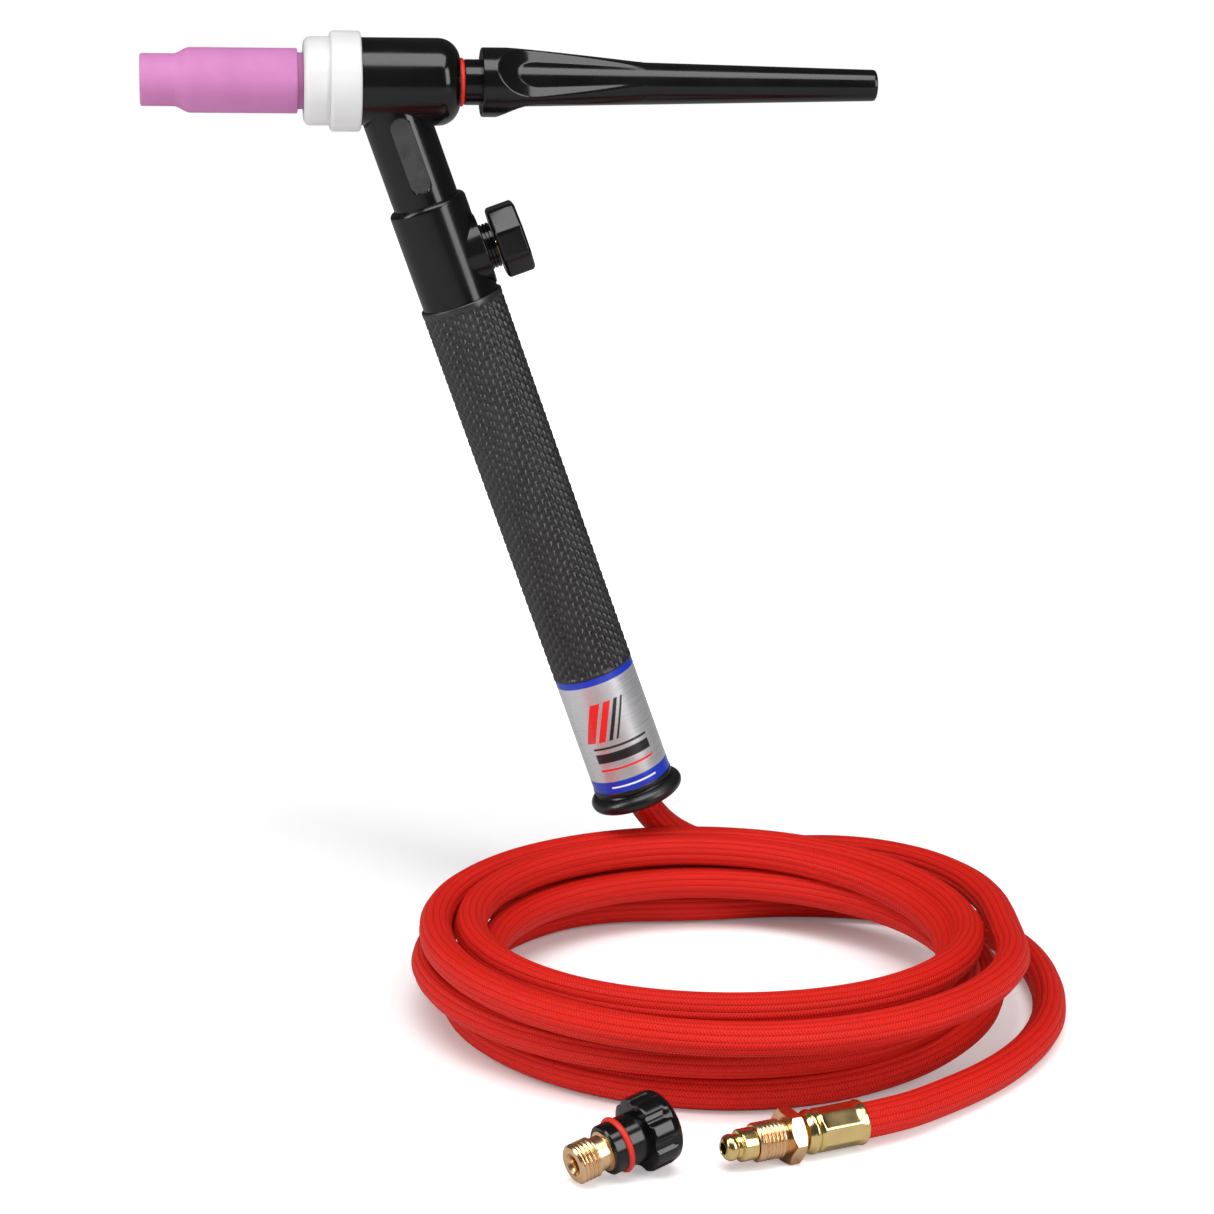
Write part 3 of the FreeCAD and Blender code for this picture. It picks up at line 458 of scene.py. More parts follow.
@once
def label_foil():
    """Brushed foil with printed bands, stripes and rules; its UV map is in millimetres."""
    band = tuple(bpy.context.scene.torch_colours.band)
    material, tree, shader = start_material("Label foil", coat=0.35, specular=0.5)
    place = uv_coordinates(tree)
    parts = add_node(tree, "ShaderNodeSeparateXYZ", {0: place})
    u, v = parts.outputs[0], parts.outputs[1]
    stretched = add_node(tree, "ShaderNodeMapping", {"Vector": place, "Scale": (0.05, 9.0, 1.0)})
    brushed = noise(tree, stretched.outputs[0], 1.0, 4.0)
    silver = mix_colours(tree, brushed, (0.62, 0.63, 0.65, 1), (0.80, 0.81, 0.83, 1))
    everywhere = (-60.0, 60.0)
    red = (0.70, 0.012, 0.012, 1)
    ink = (0.012, 0.012, 0.013, 1)
    white = (0.85, 0.85, 0.86, 1)
    # stripes lean, so their across coordinate is sheared with the distance down the label
    lean = maths(tree, "ADD", u, maths(tree, "MULTIPLY", v, 0.45))
    prints = [
        (printed(tree, lean, v, (-1.6, 1.4, 7.4, 19.0)), red),
        (printed(tree, lean, v, (2.4, 4.6, 7.4, 19.0)), red),
        (printed(tree, lean, v, (5.6, 6.8, 7.4, 19.0)), ink),
        (printed(tree, lean, v, (7.8, 8.5, 7.4, 19.0)), ink),
        (printed(tree, u, v, (-8.6, 8.4, 20.6, 21.3)), ink),
        (printed(tree, u, v, (-8.6, 8.4, 22.5, 25.4)), ink),
        (printed(tree, u, v, everywhere + (-1.0, 2.0)), band),
        (printed(tree, u, v, everywhere + (31.3, 36.0)), band),
        (printed(tree, u, v, (-7.0, 7.0, 32.9, 33.4)), white),
        (printed(tree, u, v, (-8.6, 8.4, 27.3, 28.0)), red),
    ]
    colour = silver
    foil = None
    for mask, ink_colour in prints:
        colour = mix_colours(tree, mask, colour, ink_colour)
        clear = maths(tree, "SUBTRACT", 1.0, mask)
        foil = clear if foil is None else maths(tree, "MULTIPLY", foil, clear)
    tree.links.new(colour, shader.inputs["Base Color"])
    tree.links.new(maths(tree, "MULTIPLY", foil, 0.75), shader.inputs["Metallic"])
    tree.links.new(ramp_between(tree, brushed, 0.3, 0.7, 0.26, 0.38), shader.inputs["Roughness"])
    raised = add_node(tree, "ShaderNodeBump", {"Height": brushed, "Strength": 0.08, "Distance": 0.00004})
    tree.links.new(raised.outputs[0], shader.inputs["Normal"])
    return material


@once
def red_braid():
    """Herringbone braid: the UV map holds ridges round the hose and stitches along it; painted shade darkens
    the braid between its stitches and in the grooves between its columns.
    """
    colour = tuple(bpy.context.scene.torch_colours.braid)
    material, tree, shader = start_material("Red braid", specular=0.16)
    shader.inputs["Sheen Weight"].default_value = 0.05
    shader.inputs["Sheen Roughness"].default_value = 0.4
    shader.inputs["Sheen Tint"].default_value = (1.0, 0.2, 0.1, 1)
    parts = add_node(tree, "ShaderNodeSeparateXYZ", {0: uv_coordinates(tree)})
    column = maths(tree, "FRACT", parts.outputs[0])
    fold = maths(tree, "ABSOLUTE", maths(tree, "SUBTRACT", column, 0.5))
    slope = maths(tree, "MULTIPLY", fold, 1.9)
    phase = maths(tree, "ADD", parts.outputs[1], slope)
    stitch = maths(tree, "MULTIPLY", maths(tree, "SINE", maths(tree, "MULTIPLY", phase, 2 * math.pi)), 0.5)
    stitch = maths(tree, "ADD", stitch, 0.5)
    seam = ramp_between(tree, fold, 0.36, 0.5, 1.0, 0.0)
    height = maths(tree, "MULTIPLY", maths(tree, "ADD", maths(tree, "MULTIPLY", stitch, 0.6), 0.4), seam)
    fading = noise(tree, object_coordinates(tree), 70.0, 3.0)
    base = mix_colours(tree, fading, shade(colour, 0.88), shade(colour, 1.1))
    # painted shade: the red is darkened between the stitches and in the grooves between the braid's columns
    stitch_shaded = mix_colours(tree, stitch, shade(colour, 0.55), base)
    seam_shaded = mix_colours(tree, seam, shade(colour, 0.55), stitch_shaded)
    tree.links.new(seam_shaded, shader.inputs["Base Color"])
    tree.links.new(ramp_between(tree, stitch, 0.0, 1.0, 0.62, 0.42), shader.inputs["Roughness"])
    raised = add_node(tree, "ShaderNodeBump", {"Height": height, "Strength": 0.8, "Distance": 0.00022})
    tree.links.new(raised.outputs[0], shader.inputs["Normal"])
    return material


@once
def floor_white():
    material, tree, shader = start_material("Studio floor", specular=0.0)
    patches = noise(tree, object_coordinates(tree), 3.0)
    colour = mix_colours(tree, patches, (0.94, 0.94, 0.94, 1), (0.96, 0.96, 0.96, 1))
    path = add_node(tree, "ShaderNodeLightPath")
    colour = mix_colours(tree, path.outputs["Is Glossy Ray"], colour, (0.48, 0.48, 0.48, 1))
    tree.links.new(colour, shader.inputs["Base Color"])
    # away from the torch the floor glows for the camera alone, as an evenly lit sweep does
    distance = add_node(tree, "ShaderNodeVectorMath", {0: object_coordinates(tree)}, operation="LENGTH")
    away = ramp_between(tree, distance.outputs["Value"], 0.16, 0.36, 0.10, 1.0)
    glow = maths(tree, "MULTIPLY", away, path.outputs["Is Camera Ray"])
    tree.links.new(mix_colours(tree, glow, (0, 0, 0, 1), (1, 1, 1, 1)), shader.inputs["Emission Color"])
    shader.inputs["Emission Strength"].default_value = 1.0
    shader.inputs["Roughness"].default_value = 0.9
    return material


# ---- mesh helpers
def filleted(corners, segments=6):
    """Outline of (z, radius) points from corners (z, radius, fillet); a fillet of 0 stays sharp."""
    points = []
    count = len(corners)
    for index, corner in enumerate(corners):
        here = Vector(corner[:2])
        fillet = corner[2] if len(corner) > 2 else 0.0
        if not fillet:
            points.append(tuple(here))
            continue
        before = Vector(corners[index - 1][:2]) - here
        after = Vector(corners[(index + 1) % count][:2]) - here
        half = before.angle(after) / 2
        reach = fillet / math.tan(half)
        centre = here + (before.normalized() + after.normalized()).normalized() * (fillet / math.sin(half))
        first = here + before.normalized() * reach - centre
        last = here + after.normalized() * reach - centre
        for step in range(segments + 1):
            spoke = first.slerp(last, step / segments)
            points.append(tuple(centre + spoke * (fillet / spoke.length)))
    return points


def s_bend(start, end, count=12):
    """Smooth change of radius from start to end, both (z, radius)."""
    points = []
    for step in range(count + 1):
        part = step / count
        ease = (1 - math.cos(math.pi * part)) / 2
        points.append((start[0] + (end[0] - start[0]) * part, start[1] + (end[1] - start[1]) * ease))
    return points


def rows(start, end, step):
    """Even stations from start to end, about a step apart."""
    count = max(1, round((end - start) / step))
    return [start + (end - start) * index / count for index in range(count + 1)]


def circle_outline(major, minor, height, count=20):
    turns = [2 * math.pi * index / count for index in range(count)]
    return [(height + minor * math.sin(turn), major + minor * math.cos(turn)) for turn in turns]


def off_centre(angle, count):
    """Angle from the middle of the nearest of some even sectors round the axis."""
    pitch = 2 * math.pi / count
    return (angle + pitch / 2) % pitch - pitch / 2


def lathe(outline, steps=160, closed=True):
    """Spin an outline of (z, radius) points round the Z axis."""
    bm = bmesh.new()
    made = [bm.verts.new((max(radius, 0.0), 0, z)) for z, radius in outline]
    pairs = list(zip(made, made[1:]))
    if closed:
        pairs.append((made[-1], made[0]))
    edges = [bm.edges.new(pair) for pair in pairs]
    bmesh.ops.spin(bm, geom=made + edges, cent=(0, 0, 0), axis=(0, 0, 1), angle=2 * math.pi,
                   steps=steps, use_merge=True, use_duplicate=False)
    bmesh.ops.remove_doubles(bm, verts=bm.verts[:], dist=1e-4)
    return bm


def reshape(bm, radius_at):
    """Move each vertex in or out: radius_at(z, angle, radius) gives its new radius."""
    for vertex in bm.verts:
        radius = math.hypot(vertex.co.x, vertex.co.y)
        if radius > 1e-6:
            angle = math.atan2(vertex.co.y, vertex.co.x)
            scale = radius_at(vertex.co.z, angle, radius) / radius
            vertex.co.x *= scale
            vertex.co.y *= scale


def wrap_uv(bm, turn=0.0, per_radian=1.0, base=0.0):
    """UV map from the angle round Z, counted from turn, and the height above base."""
    layer = bm.loops.layers.uv.new("UVMap")
    for face in bm.faces:
        centre = face.calc_center_median()
        about = math.atan2(centre.y, centre.x) - turn
        about = (about + math.pi) % (2 * math.pi) - math.pi
        for loop in face.loops:
            angle = math.atan2(loop.vert.co.y, loop.vert.co.x) - turn
            angle += 2 * math.pi * round((about - angle) / (2 * math.pi))
            loop[layer].uv = (angle * per_radian, loop.vert.co.z - base)


def link_object(name, data):
    """New object that shows some data, linked to the scene."""
    made = bpy.data.objects.new(name, data)
    bpy.context.scene.collection.objects.link(made)
    return made


def add_piece(name, bm, place, material, body, nodes, sharp=40.0):
    """Turn a mesh in a local frame into a piece that rides on a body and stands for CAD nodes."""
    bmesh.ops.recalc_face_normals(bm, faces=bm.faces[:])
    if not bm.loops.layers.uv:
        wrap_uv(bm)
    bm.transform(place)
    mesh = bpy.data.meshes.new(name)
    bm.to_mesh(mesh)
    bm.free()
    mesh.materials.append(material)
    mesh.shade_smooth()
    mesh.set_sharp_from_angle(angle=math.radians(sharp))
    piece = link_object(name, mesh)
    weighted = piece.modifiers.new("Weighted normals", "WEIGHTED_NORMAL")
    weighted.keep_sharp = True
    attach(piece, body)
    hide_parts(*nodes)
    return piece


def merged(*parts):
    """One mesh from several closed ones, each (mesh, matrix in millimetres or None)."""
    whole = bmesh.new()
    for part, matrix in parts:
        if matrix is not None:
            part.transform(matrix)
        bmesh.ops.recalc_face_normals(part, faces=part.faces[:])
        scratch = bpy.data.meshes.new("scratch")
        part.to_mesh(scratch)
        part.free()
        whole.from_mesh(scratch)
        bpy.data.meshes.remove(scratch)
    return whole


def smooth_min(first, second, blend):
    mix = max(blend - abs(first - second), 0.0) / blend
    return min(first, second) - mix * mix * blend / 4


def smooth_max(first, second, blend):
    return -smooth_min(-first, -second, blend)


def threaded(start, end, pitch, depth, wall):
    """Function for reshape that cuts a thread between two heights, outside the wall's radius."""
    def radius_at(z, angle, radius):
        if radius < wall or not start <= z <= end:
            return radius
        phase = (z / pitch - angle / (2 * math.pi)) % 1.0
        run = min(1.0, (z - start) / pitch, (end - z) / pitch)
        return radius - depth * run * (0.5 + 0.5 * math.cos(2 * math.pi * phase))
    return radius_at


# ---- head
CUP_BORE_R = 4.75
CUP_NOSE_R = 7.0
CUP_BODY_R = 8.7
CUP_NECK_R = 7.55
CUP_REAR_BORE_R = 6.2
SHIELD_NOSE_R = 11.85
SHIELD_FLANGE_R = 13.45
SHIELD_SOCKET_R = 7.85      # round the rear of the gas cup
SHIELD_SOCKET_DEPTH = 4.4


def build_nozzle():
    """Gas cup: small front, smooth flare, body with faint fired texture, and neck."""
    start, end = span("nozzle", HEAD)
    flare, body, neck = start + 8.7, start + 13.4, end - 5.7
    outline = filleted([
        (start, CUP_BORE_R, 0.5), (start, CUP_NOSE_R, 0.6), *s_bend((flare, CUP_NOSE_R), (body, CUP_BODY_R)),
        (neck, CUP_BODY_R, 0.3), (neck, CUP_NECK_R), (end, CUP_NECK_R), (end, CUP_REAR_BORE_R),
        (end - 11.0, CUP_REAR_BORE_R), (end - 18.5, CUP_BORE_R)])
    bm = lathe(outline, steps=144)
    add_piece("gas_cup", bm, HEAD, pink_alumina(), "nozzle", ["nozzle"])


def build_gasket():
    """White heat shield with a rounded nose and a wider flange."""
    start, end = span("cup_gasket", HEAD)
    flange = end - 8.3
    outline = filleted([
        (start, SHIELD_SOCKET_R, 0.4), (start, SHIELD_NOSE_R, 1.9), (flange, SHIELD_NOSE_R),
        (flange, SHIELD_FLANGE_R, 0.9), (end, SHIELD_FLANGE_R, 0.9), (end, HEAD_BORE_R),
        (start + SHIELD_SOCKET_DEPTH, HEAD_BORE_R), (start + SHIELD_SOCKET_DEPTH, SHIELD_SOCKET_R)])
    bm = lathe(outline, steps=160)
    add_piece("heat_shield", bm, HEAD, white_ptfe(), "root", ["cup_gasket"])


PANEL_TOP = 9.6
PANEL_LENGTH = 21.4
PANEL_WIDTH = 5.8
PANEL_FLOOR = NECK_R - 0.45
RIM_REACH = 0.17      # how far from the rim its nearest vertices are drawn onto it


def in_panel(x, z):
    """Distance inside the edge of the neck's blank oblong recess; negative outside it."""
    half = PANEL_WIDTH / 2
    low, high = PANEL_TOP + half, PANEL_TOP + PANEL_LENGTH - half
    return half - math.hypot(x, z - min(max(z, low), high))


def snap_to_panel(neck):
    """Sink the recess into the neck's wall, with a crisp rim and its own finish on the floor."""
    half = PANEL_WIDTH / 2
    for vertex in neck.verts:
        if vertex.co.y < 5.0:
            continue
        inside = in_panel(vertex.co.x, vertex.co.z)
        if inside < -RIM_REACH:
            continue
        level = min(max(vertex.co.z, PANEL_TOP + half), PANEL_TOP + PANEL_LENGTH - half)
        aside = Vector((vertex.co.x, vertex.co.z - level))
        if abs(inside) < RIM_REACH and aside.length > 1.0:
            aside *= (half - (0.10 if inside > 0 else -0.02)) / aside.length
            vertex.co.x, vertex.co.z = aside.x, aside.y + level
        if inside > 0:
            vertex.co.y = PANEL_FLOOR
        else:
            vertex.co.y = math.sqrt(NECK_R ** 2 - vertex.co.x ** 2)
    for face in neck.faces:
        if all(abs(vertex.co.y - PANEL_FLOOR) < 1e-4 for vertex in face.verts):
            face.material_index = 1


def build_head_cover():
    """Black moulding: round-ended head, and the neck with its blank recess."""
    end = span("torch_body", HEAD)[1]
    front = span("cup_gasket", HEAD)[1]
    rear = front + 26.85
    rounding = 6.0
    back = [(rear - rounding + rounding * math.sin(turn), HEAD_R - rounding + rounding * math.cos(turn))
            for turn in (math.radians(79.0) * index / 12 for index in range(13))]
    head = lathe(filleted([(front, HEAD_BORE_R), (front, HEAD_R, 0.25), *back, (end, 6.9),
                           (end, HEAD_BORE_R)]), steps=192)
    wrap_uv(head)
    tilt = math.acos(ALONG.x)
    neck_top = (front + 0.05 + NECK_R * math.sin(tilt)) / math.cos(tilt)
    neck_end = neck_top + 28.6
    stations = rows(neck_top, neck_end, 0.28)
    neck = lathe([(z, NECK_R) for z in stations] + [(neck_end, 0.0), (neck_top, 0.0)], steps=320)
    snap_to_panel(neck)
    wrap_uv(neck)
    bm = merged((head, HEAD), (neck, HANDLE))
    cover = add_piece("moulded_head", bm, Matrix.Identity(4), gloss_black(), "root",
                      ["head_cover"], sharp=30.0)
    cover.data.materials.append(panel_black())


def build_electrode():
    """Tungsten electrode ground to a point."""
    start, end = span("electrode", HEAD)
    radius = 1.2
    outline = [(start, 0.0), (start + 0.05, 0.1), (start + 4.5, radius), (end - 0.2, radius),
               (end, radius - 0.2), (end, 0.0)]
    bm = lathe(outline, steps=48, closed=False)
    add_piece("electrode_rod", bm, HEAD, ground_tungsten(), "electrode", ["electrode"])


CAP_LENGTH = 109.0
CAP_FRONT_R = 9.35
CAP_END_R = 4.25
RIB_LENGTH = 44.5
RIB_MERGE_R = 5.7
CAP_FLUTES = 3
RIBS_START = 7.0       # end of the flange's full radius, from the front face
SCOOP_START = 4.0
SCOOP_FLOOR_AT = 15.7
SCOOP_DEPTH_R = 5.3


def cap_outer(z):
    """Radius of the back cap's flange and ribs, z from its front face."""
    if z < RIBS_START:
        return CAP_FRONT_R
    part = min(1.0, (z - RIBS_START) / (RIB_LENGTH - RIBS_START))
    return CAP_FRONT_R - (CAP_FRONT_R - RIB_MERGE_R) * part ** 1.12


def cap_core(z):
    """Radius of the cone between the ribs, z from the front face."""
    taper = (RIB_MERGE_R - CAP_END_R) / (CAP_LENGTH - RIB_LENGTH)
    return RIB_MERGE_R + taper * (RIB_LENGTH - z)


def scoop_flat(z):
    """Distance from the axis to a flute's flat, z from the front face; far outside where none is cut."""
    if z <= SCOOP_START:
        return 3 * CAP_FRONT_R
    part = min(1.0, (z - SCOOP_START) / (SCOOP_FLOOR_AT - SCOOP_START))
    return SCOOP_DEPTH_R + (CAP_FRONT_R - SCOOP_DEPTH_R) * (1 - math.sin(part * math.pi / 2)) ** 1.1


def build_back_cap():
    """Long back cap: barrel, flange, three scooped flutes with ribs between, and a long cone."""
    start, end = span("cap_shell", HEAD)
    face = end - CAP_LENGTH

    def radius_at(z, angle, radius):
        run = z - face
        if run < 0.45 or radius < CAP_END_R - 0.3 or run > CAP_LENGTH - 0.9:
            return radius
        aside = off_centre(angle - math.pi, CAP_FLUTES)
        outer = min(cap_outer(run), radius)
        if run > RIB_LENGTH:
            return cap_core(run)
        cut = smooth_min(outer, scoop_flat(run) / math.cos(aside), 0.35)
        return smooth_max(cut, cap_core(run) - 0.02, 0.30)

    wall = [(face + z, cap_outer(z)) for z in rows(0.6, RIB_LENGTH + 2, 0.33)]
    wall += [(face + z, cap_core(z)) for z in rows(RIB_LENGTH + 4, CAP_LENGTH - 1.0, 2.2)]
    outline = [(start, CAP_THREAD_R), (start, CAP_BARREL_R - 0.2), (start + 0.2, CAP_BARREL_R)]
    outline += [(face, CAP_BARREL_R), (face, CAP_FRONT_R - 0.45), (face + 0.12, CAP_FRONT_R - 0.15),
                (face + 0.4, CAP_FRONT_R)]
    outline += wall
    outline += [(end - 0.75, CAP_END_R), (end - 0.3, CAP_END_R - 0.15), (end, CAP_END_R - 0.7), (end, 0.0),
                (end - 10.0, 0.0), (end - 10.5, 1.7), (face, 1.7), (face, CAP_THREAD_R)]
    bm = lathe(outline, steps=288)
    reshape(bm, radius_at)
    add_piece("back_cap", bm, HEAD, gloss_black(), "back_cap", ["cap_shell"])


def build_cap_thread():
    """Brass insert of the long back cap with its real thread."""
    start, end = span("cap_ferrule", HEAD)
    thread_end = start + 8.0
    outline = [(start, 1.7), (start, CAP_THREAD_R - 0.4)]
    outline += [(z, CAP_THREAD_R) for z in rows(start + 0.3, thread_end, 0.08)]
    outline += [(thread_end + 0.2, CAP_THREAD_R - 0.6), (end - 7.0, CAP_THREAD_R - 0.6),
                (end - 6.6, CAP_THREAD_R), (end, CAP_THREAD_R), (end, 1.7)]
    bm = lathe(outline, steps=96)
    pitch = bpy.context.scene.torch_sizes.thread_pitch / MM
    reshape(bm, threaded(start + 0.3, thread_end, pitch, 0.45, CAP_THREAD_R - 0.1))
    add_piece("cap_thread", bm, HEAD, bright_brass(), "back_cap", ["cap_ferrule"])


def build_seals():
    """Red seal rings of the long cap and the spare cap."""
    low, high = span("cap_o_ring", HEAD)
    major = CAP_THREAD_R + 0.1 + SEAL_CORD_R
    bm = lathe(circle_outline(major, SEAL_CORD_R, (low + high) / 2), steps=96)
    add_piece("cap_seal_ring", bm, HEAD, red_silicone(), "cap_seal", ["cap_o_ring"])
    bm = lathe(circle_outline(CAP_BARREL_R, SEAL_CORD_R, SPARE_SEAL_AT), steps=96)
    add_piece("spare_seal_ring", bm, SPARE, red_silicone(), "spare_cap",
              ["spare_cap_o_ring"])


# ---- valve
VALVE_R = 10.8
BOSS_FACE = 11.07


def build_valve_body():
    """Black valve moulding with a rounded shoulder round the neck, and the valve's boss."""
    top = VALVE_AT / MM - 17.3
    grip = span("handle_sleeve", HANDLE)[0]
    body = lathe(filleted([
        (top, NECK_R, 0.25), (top, VALVE_R, 1.6), (grip, VALVE_R), (grip, SLEEVE_BORE_R),
        (grip + 12.0, SLEEVE_BORE_R),
        (grip + 12.0, 7.0), (grip, 7.0), (grip - 1.0, 8.8), (top + 6.0, 8.8), (top + 6.0, 4.0),
        (top + 1.1, 4.0), (top + 1.1, NECK_R)], segments=10), steps=192)
    wrap_uv(body)
    boss = lathe(filleted([(0.0, 4.5), (0.0, 9.2), (BOSS_FACE, 10.0, 0.5), (BOSS_FACE, 4.5, 0.2)]))
    wrap_uv(boss)
    bm = merged((body, HANDLE), (boss, VALVE))
    add_piece("valve_moulding", bm, Matrix.Identity(4), gloss_black(), "root", ["valve_body"])


def build_retainer():
    """Ringed collar between the boss and the knob."""
    start, end = span("valve_retainer", VALVE)
    outline = [(start, 2.1), (start, 4.5), (BOSS_FACE, 4.5), (BOSS_FACE, 6.2)]
    pitch = (end - BOSS_FACE) / 3
    for index in range(3):
        low = BOSS_FACE + pitch * index
        outline += [(low + 0.05, 6.2), (low + 0.2, 6.35), (low + pitch - 0.25, 6.35),
                    (low + pitch - 0.12, 5.95), (low + pitch, 5.95)]
    outline += [(end, 2.1)]
    bm = lathe(outline, steps=128)
    add_piece("valve_collar", bm, VALVE, gloss_black(), "root", ["valve_retainer"])


KNOB_FLATS = 19.3
KNOB_SIDES = 8


def build_knob():
    """Eight-sided knob: bevelled edges, faintly hollow front and a recess for its screw."""
    start, end = span("valve_knob", VALVE)
    half = KNOB_FLATS / 2
    outline = [(start, 2.0), (start, half - 1.0), (start + 0.12, half - 0.6), (start + 0.5, half - 0.15),
               (start + 0.85, half), (end - 0.85, half), (end - 0.5, half - 0.15), (end - 0.12, half - 0.6),
               (end, half - 1.0), (end, 4.0), (end - 0.15, 3.7), (end - 0.4, 3.6), (end - 1.6, 3.6),
               (end - 1.6, 1.3), (end - 2.4, 1.3), (end - 2.4, 2.0)]
    bm = lathe(outline, steps=192)
    corner = 1.0 / math.cos(math.pi / KNOB_SIDES)

    def radius_at(z, angle, radius):
        if radius < 5.0:
            return radius
        flat = 1.0 / math.cos(off_centre(angle, KNOB_SIDES))
        return radius * smooth_min(flat, corner - 0.012, 0.02)
    reshape(bm, radius_at)
    add_piece("octagon_knob", bm, VALVE, gloss_black(), "valve_knob", ["valve_knob"],
              sharp=30.0)


# ---- handle
GRIP_R = 11.6
LABEL_R = 11.45
BOOT_WAIST_R = 10.9
KNURL_MARGIN = 0.5      # plain stretch at the end of the knurl
KNURL_RUNOUT = 0.6      # over which the knurl fades at both of its ends
KNURL_JITTER = 0.03     # how far the columns of bumps stray from even, in shares of the pitch
KNURL_SADDLE = 0.12     # height left between two bumps of a column, as a share of a bump's


def build_grip():
    """Knurled sleeve: staggered long bumps in columns, a plain rim, and the seat of the label."""
    sizes = bpy.context.scene.torch_sizes
    columns = sizes.knurl_columns
    pitch = sizes.knurl_pitch / MM
    height = sizes.knurl_height / MM
    start, end = span("handle_sleeve", HANDLE)
    knurl_end = span("label_band", HANDLE)[0]
    knurl_start = start + 1.6

    def radius_at(z, angle, radius):
        if radius < GRIP_R - 0.01 or z < knurl_start or z > knurl_end - KNURL_MARGIN:
            return radius
        column = angle / (2 * math.pi) * columns
        stagger = (math.floor(column) % 2) * 0.5
        across = abs((column % 1.0) - 0.5) * 2
        along = (z / pitch + stagger + KNURL_JITTER * math.sin(math.floor(column) * 2.4)) % 1.0
        crown = KNURL_SADDLE + (1 - KNURL_SADDLE) * math.sin(math.pi * along) ** 0.8
        bump = (1 - across ** 2.5) * crown
        fade = min(1.0, (z - knurl_start) / KNURL_RUNOUT, (knurl_end - KNURL_MARGIN - z) / KNURL_RUNOUT)
        return radius - height * fade * (1 - bump)

    outline = [(start, SLEEVE_BORE_R), (start, GRIP_R - 0.3), (start + 0.1, GRIP_R - 0.1),
               (start + 0.3, GRIP_R)]
    outline += [(z, GRIP_R) for z in rows(start + 0.8, knurl_end - 0.35, 0.34)]
    outline += [(knurl_end - 0.1, GRIP_R - 0.1), (knurl_end, GRIP_R - 0.3), (knurl_end, LABEL_SEAT_R),
                (end, LABEL_SEAT_R), (end, SLEEVE_BORE_R)]
    bm = lathe(outline, steps=columns * 6)
    reshape(bm, radius_at)
    add_piece("knurled_grip", bm, HANDLE, grip_black(), "root", ["handle_sleeve"], sharp=80.0)


def build_label():
    """Foil label; its print is laid out from the side that faces forwards."""
    start, end = span("label_band", HANDLE)
    outline = [(start, LABEL_SEAT_R), (start, LABEL_R - 0.05), (start + 0.05, LABEL_R),
               (end - 0.05, LABEL_R), (end, LABEL_R - 0.05), (end, LABEL_SEAT_R)]
    bm = lathe(outline, steps=160)
    wrap_uv(bm, turn=math.radians(90.0), per_radian=-LABEL_R, base=start)
    add_piece("label", bm, HANDLE, label_foil(), "root", ["label_band"])


def build_boot():
    """Rubber end boot: thin lip, waist, rolled ring and a mouth that the hose leaves by."""
    start, end = span("handle_boot", HANDLE)
    lip = span("label_band", HANDLE)[1]
    ring_r = 2.3
    ring_at = end - ring_r - 0.4
    roll = [(ring_at + ring_r * math.sin(turn), BOOT_WAIST_R + 2.6 * math.cos(turn))
            for turn in (math.radians(angle) for angle in range(-84, 91, 12))]
    outline = filleted([
        (start, HOSE_R), (start, SLEEVE_BORE_R), (lip, SLEEVE_BORE_R), (lip, GRIP_R, 0.2),
        (lip + 1.2, GRIP_R, 0.4), (lip + 1.7, BOOT_WAIST_R), *roll, (end, 9.9), (end, 7.4, 0.5),
        (end - 3.0, 5.3), (end - 8.0, HOSE_R)], segments=4)
    bm = lathe(outline, steps=160)
    add_piece("end_boot", bm, HANDLE, black_rubber(), "root", ["handle_boot"])


# ---- hose
def coil_points():
    """Control points of the coil's turns, clockwise seen from above, from the top layer down."""
    middle = middle_of("hose_coil")
    points = []
    total = len(COIL_TURNS) * POINTS_PER_TURN
    step = 360.0 / POINTS_PER_TURN
    flat = [(radius, layer) for radii, layers in COIL_TURNS for radius, layer in zip(radii, layers)]
    for index in range(total):
        turned = -COIL_START + index * step
        if turned >= 360.0 * len(COIL_TURNS) - COIL_CUT:
            break
        quarter = (turned - 90.0) / 90.0
        before = min(max(math.floor(quarter), 0), len(flat) - 1)
        after = min(before + 1, len(flat) - 1)
        part = min(max(quarter - before, 0.0), 1.0)
        ease = part * part * (3 - 2 * part)
        radius = flat[before][0] + (flat[after][0] - flat[before][0]) * ease
        layer = flat[before][1] + (flat[after][1] - flat[before][1]) * ease
        height = FLOOR_Z + (HOSE_R + 2 * HOSE_R * layer) * MM
        angle = math.radians(-turned)
        reach = radius * COIL_SPREAD * MM
        points.append((middle.x + reach * math.cos(angle), middle.y + reach * math.sin(angle), height))
    return points


def hose_line():
    """Smooth line of the hose, read from one NURBS spline through its lead, coil and tail."""
    route = LEAD_ROUTE + coil_points() + TAIL_ROUTE
    curve = bpy.data.curves.new("hose_route", "CURVE")
    curve.dimensions = "3D"
    spline = curve.splines.new("NURBS")
    spline.points.add(len(route) - 1)
    for point, place in zip(spline.points, route):
        point.co = (*place, 1.0)
    spline.order_u = 3
    spline.use_endpoint_u = True
    spline.resolution_u = 10
    carrier = link_object("hose_route", curve)
    line_mesh = bpy.data.meshes.new_from_object(carrier)
    line = [vertex.co.copy() for vertex in line_mesh.vertices]
    bpy.data.meshes.remove(line_mesh)
    bpy.data.objects.remove(carrier)
    bpy.data.curves.remove(curve)
    return line


STITCH_LENGTH = 0.0008
WAVES = ((4, 14.0), (7, -9.0))     # lobes round the hose, and radians a metre along it
WAVE_HEIGHT = 0.00009
WAVE_SINK = 1.6                    # lowers the waves, so that their crests hardly pass the hose's radius


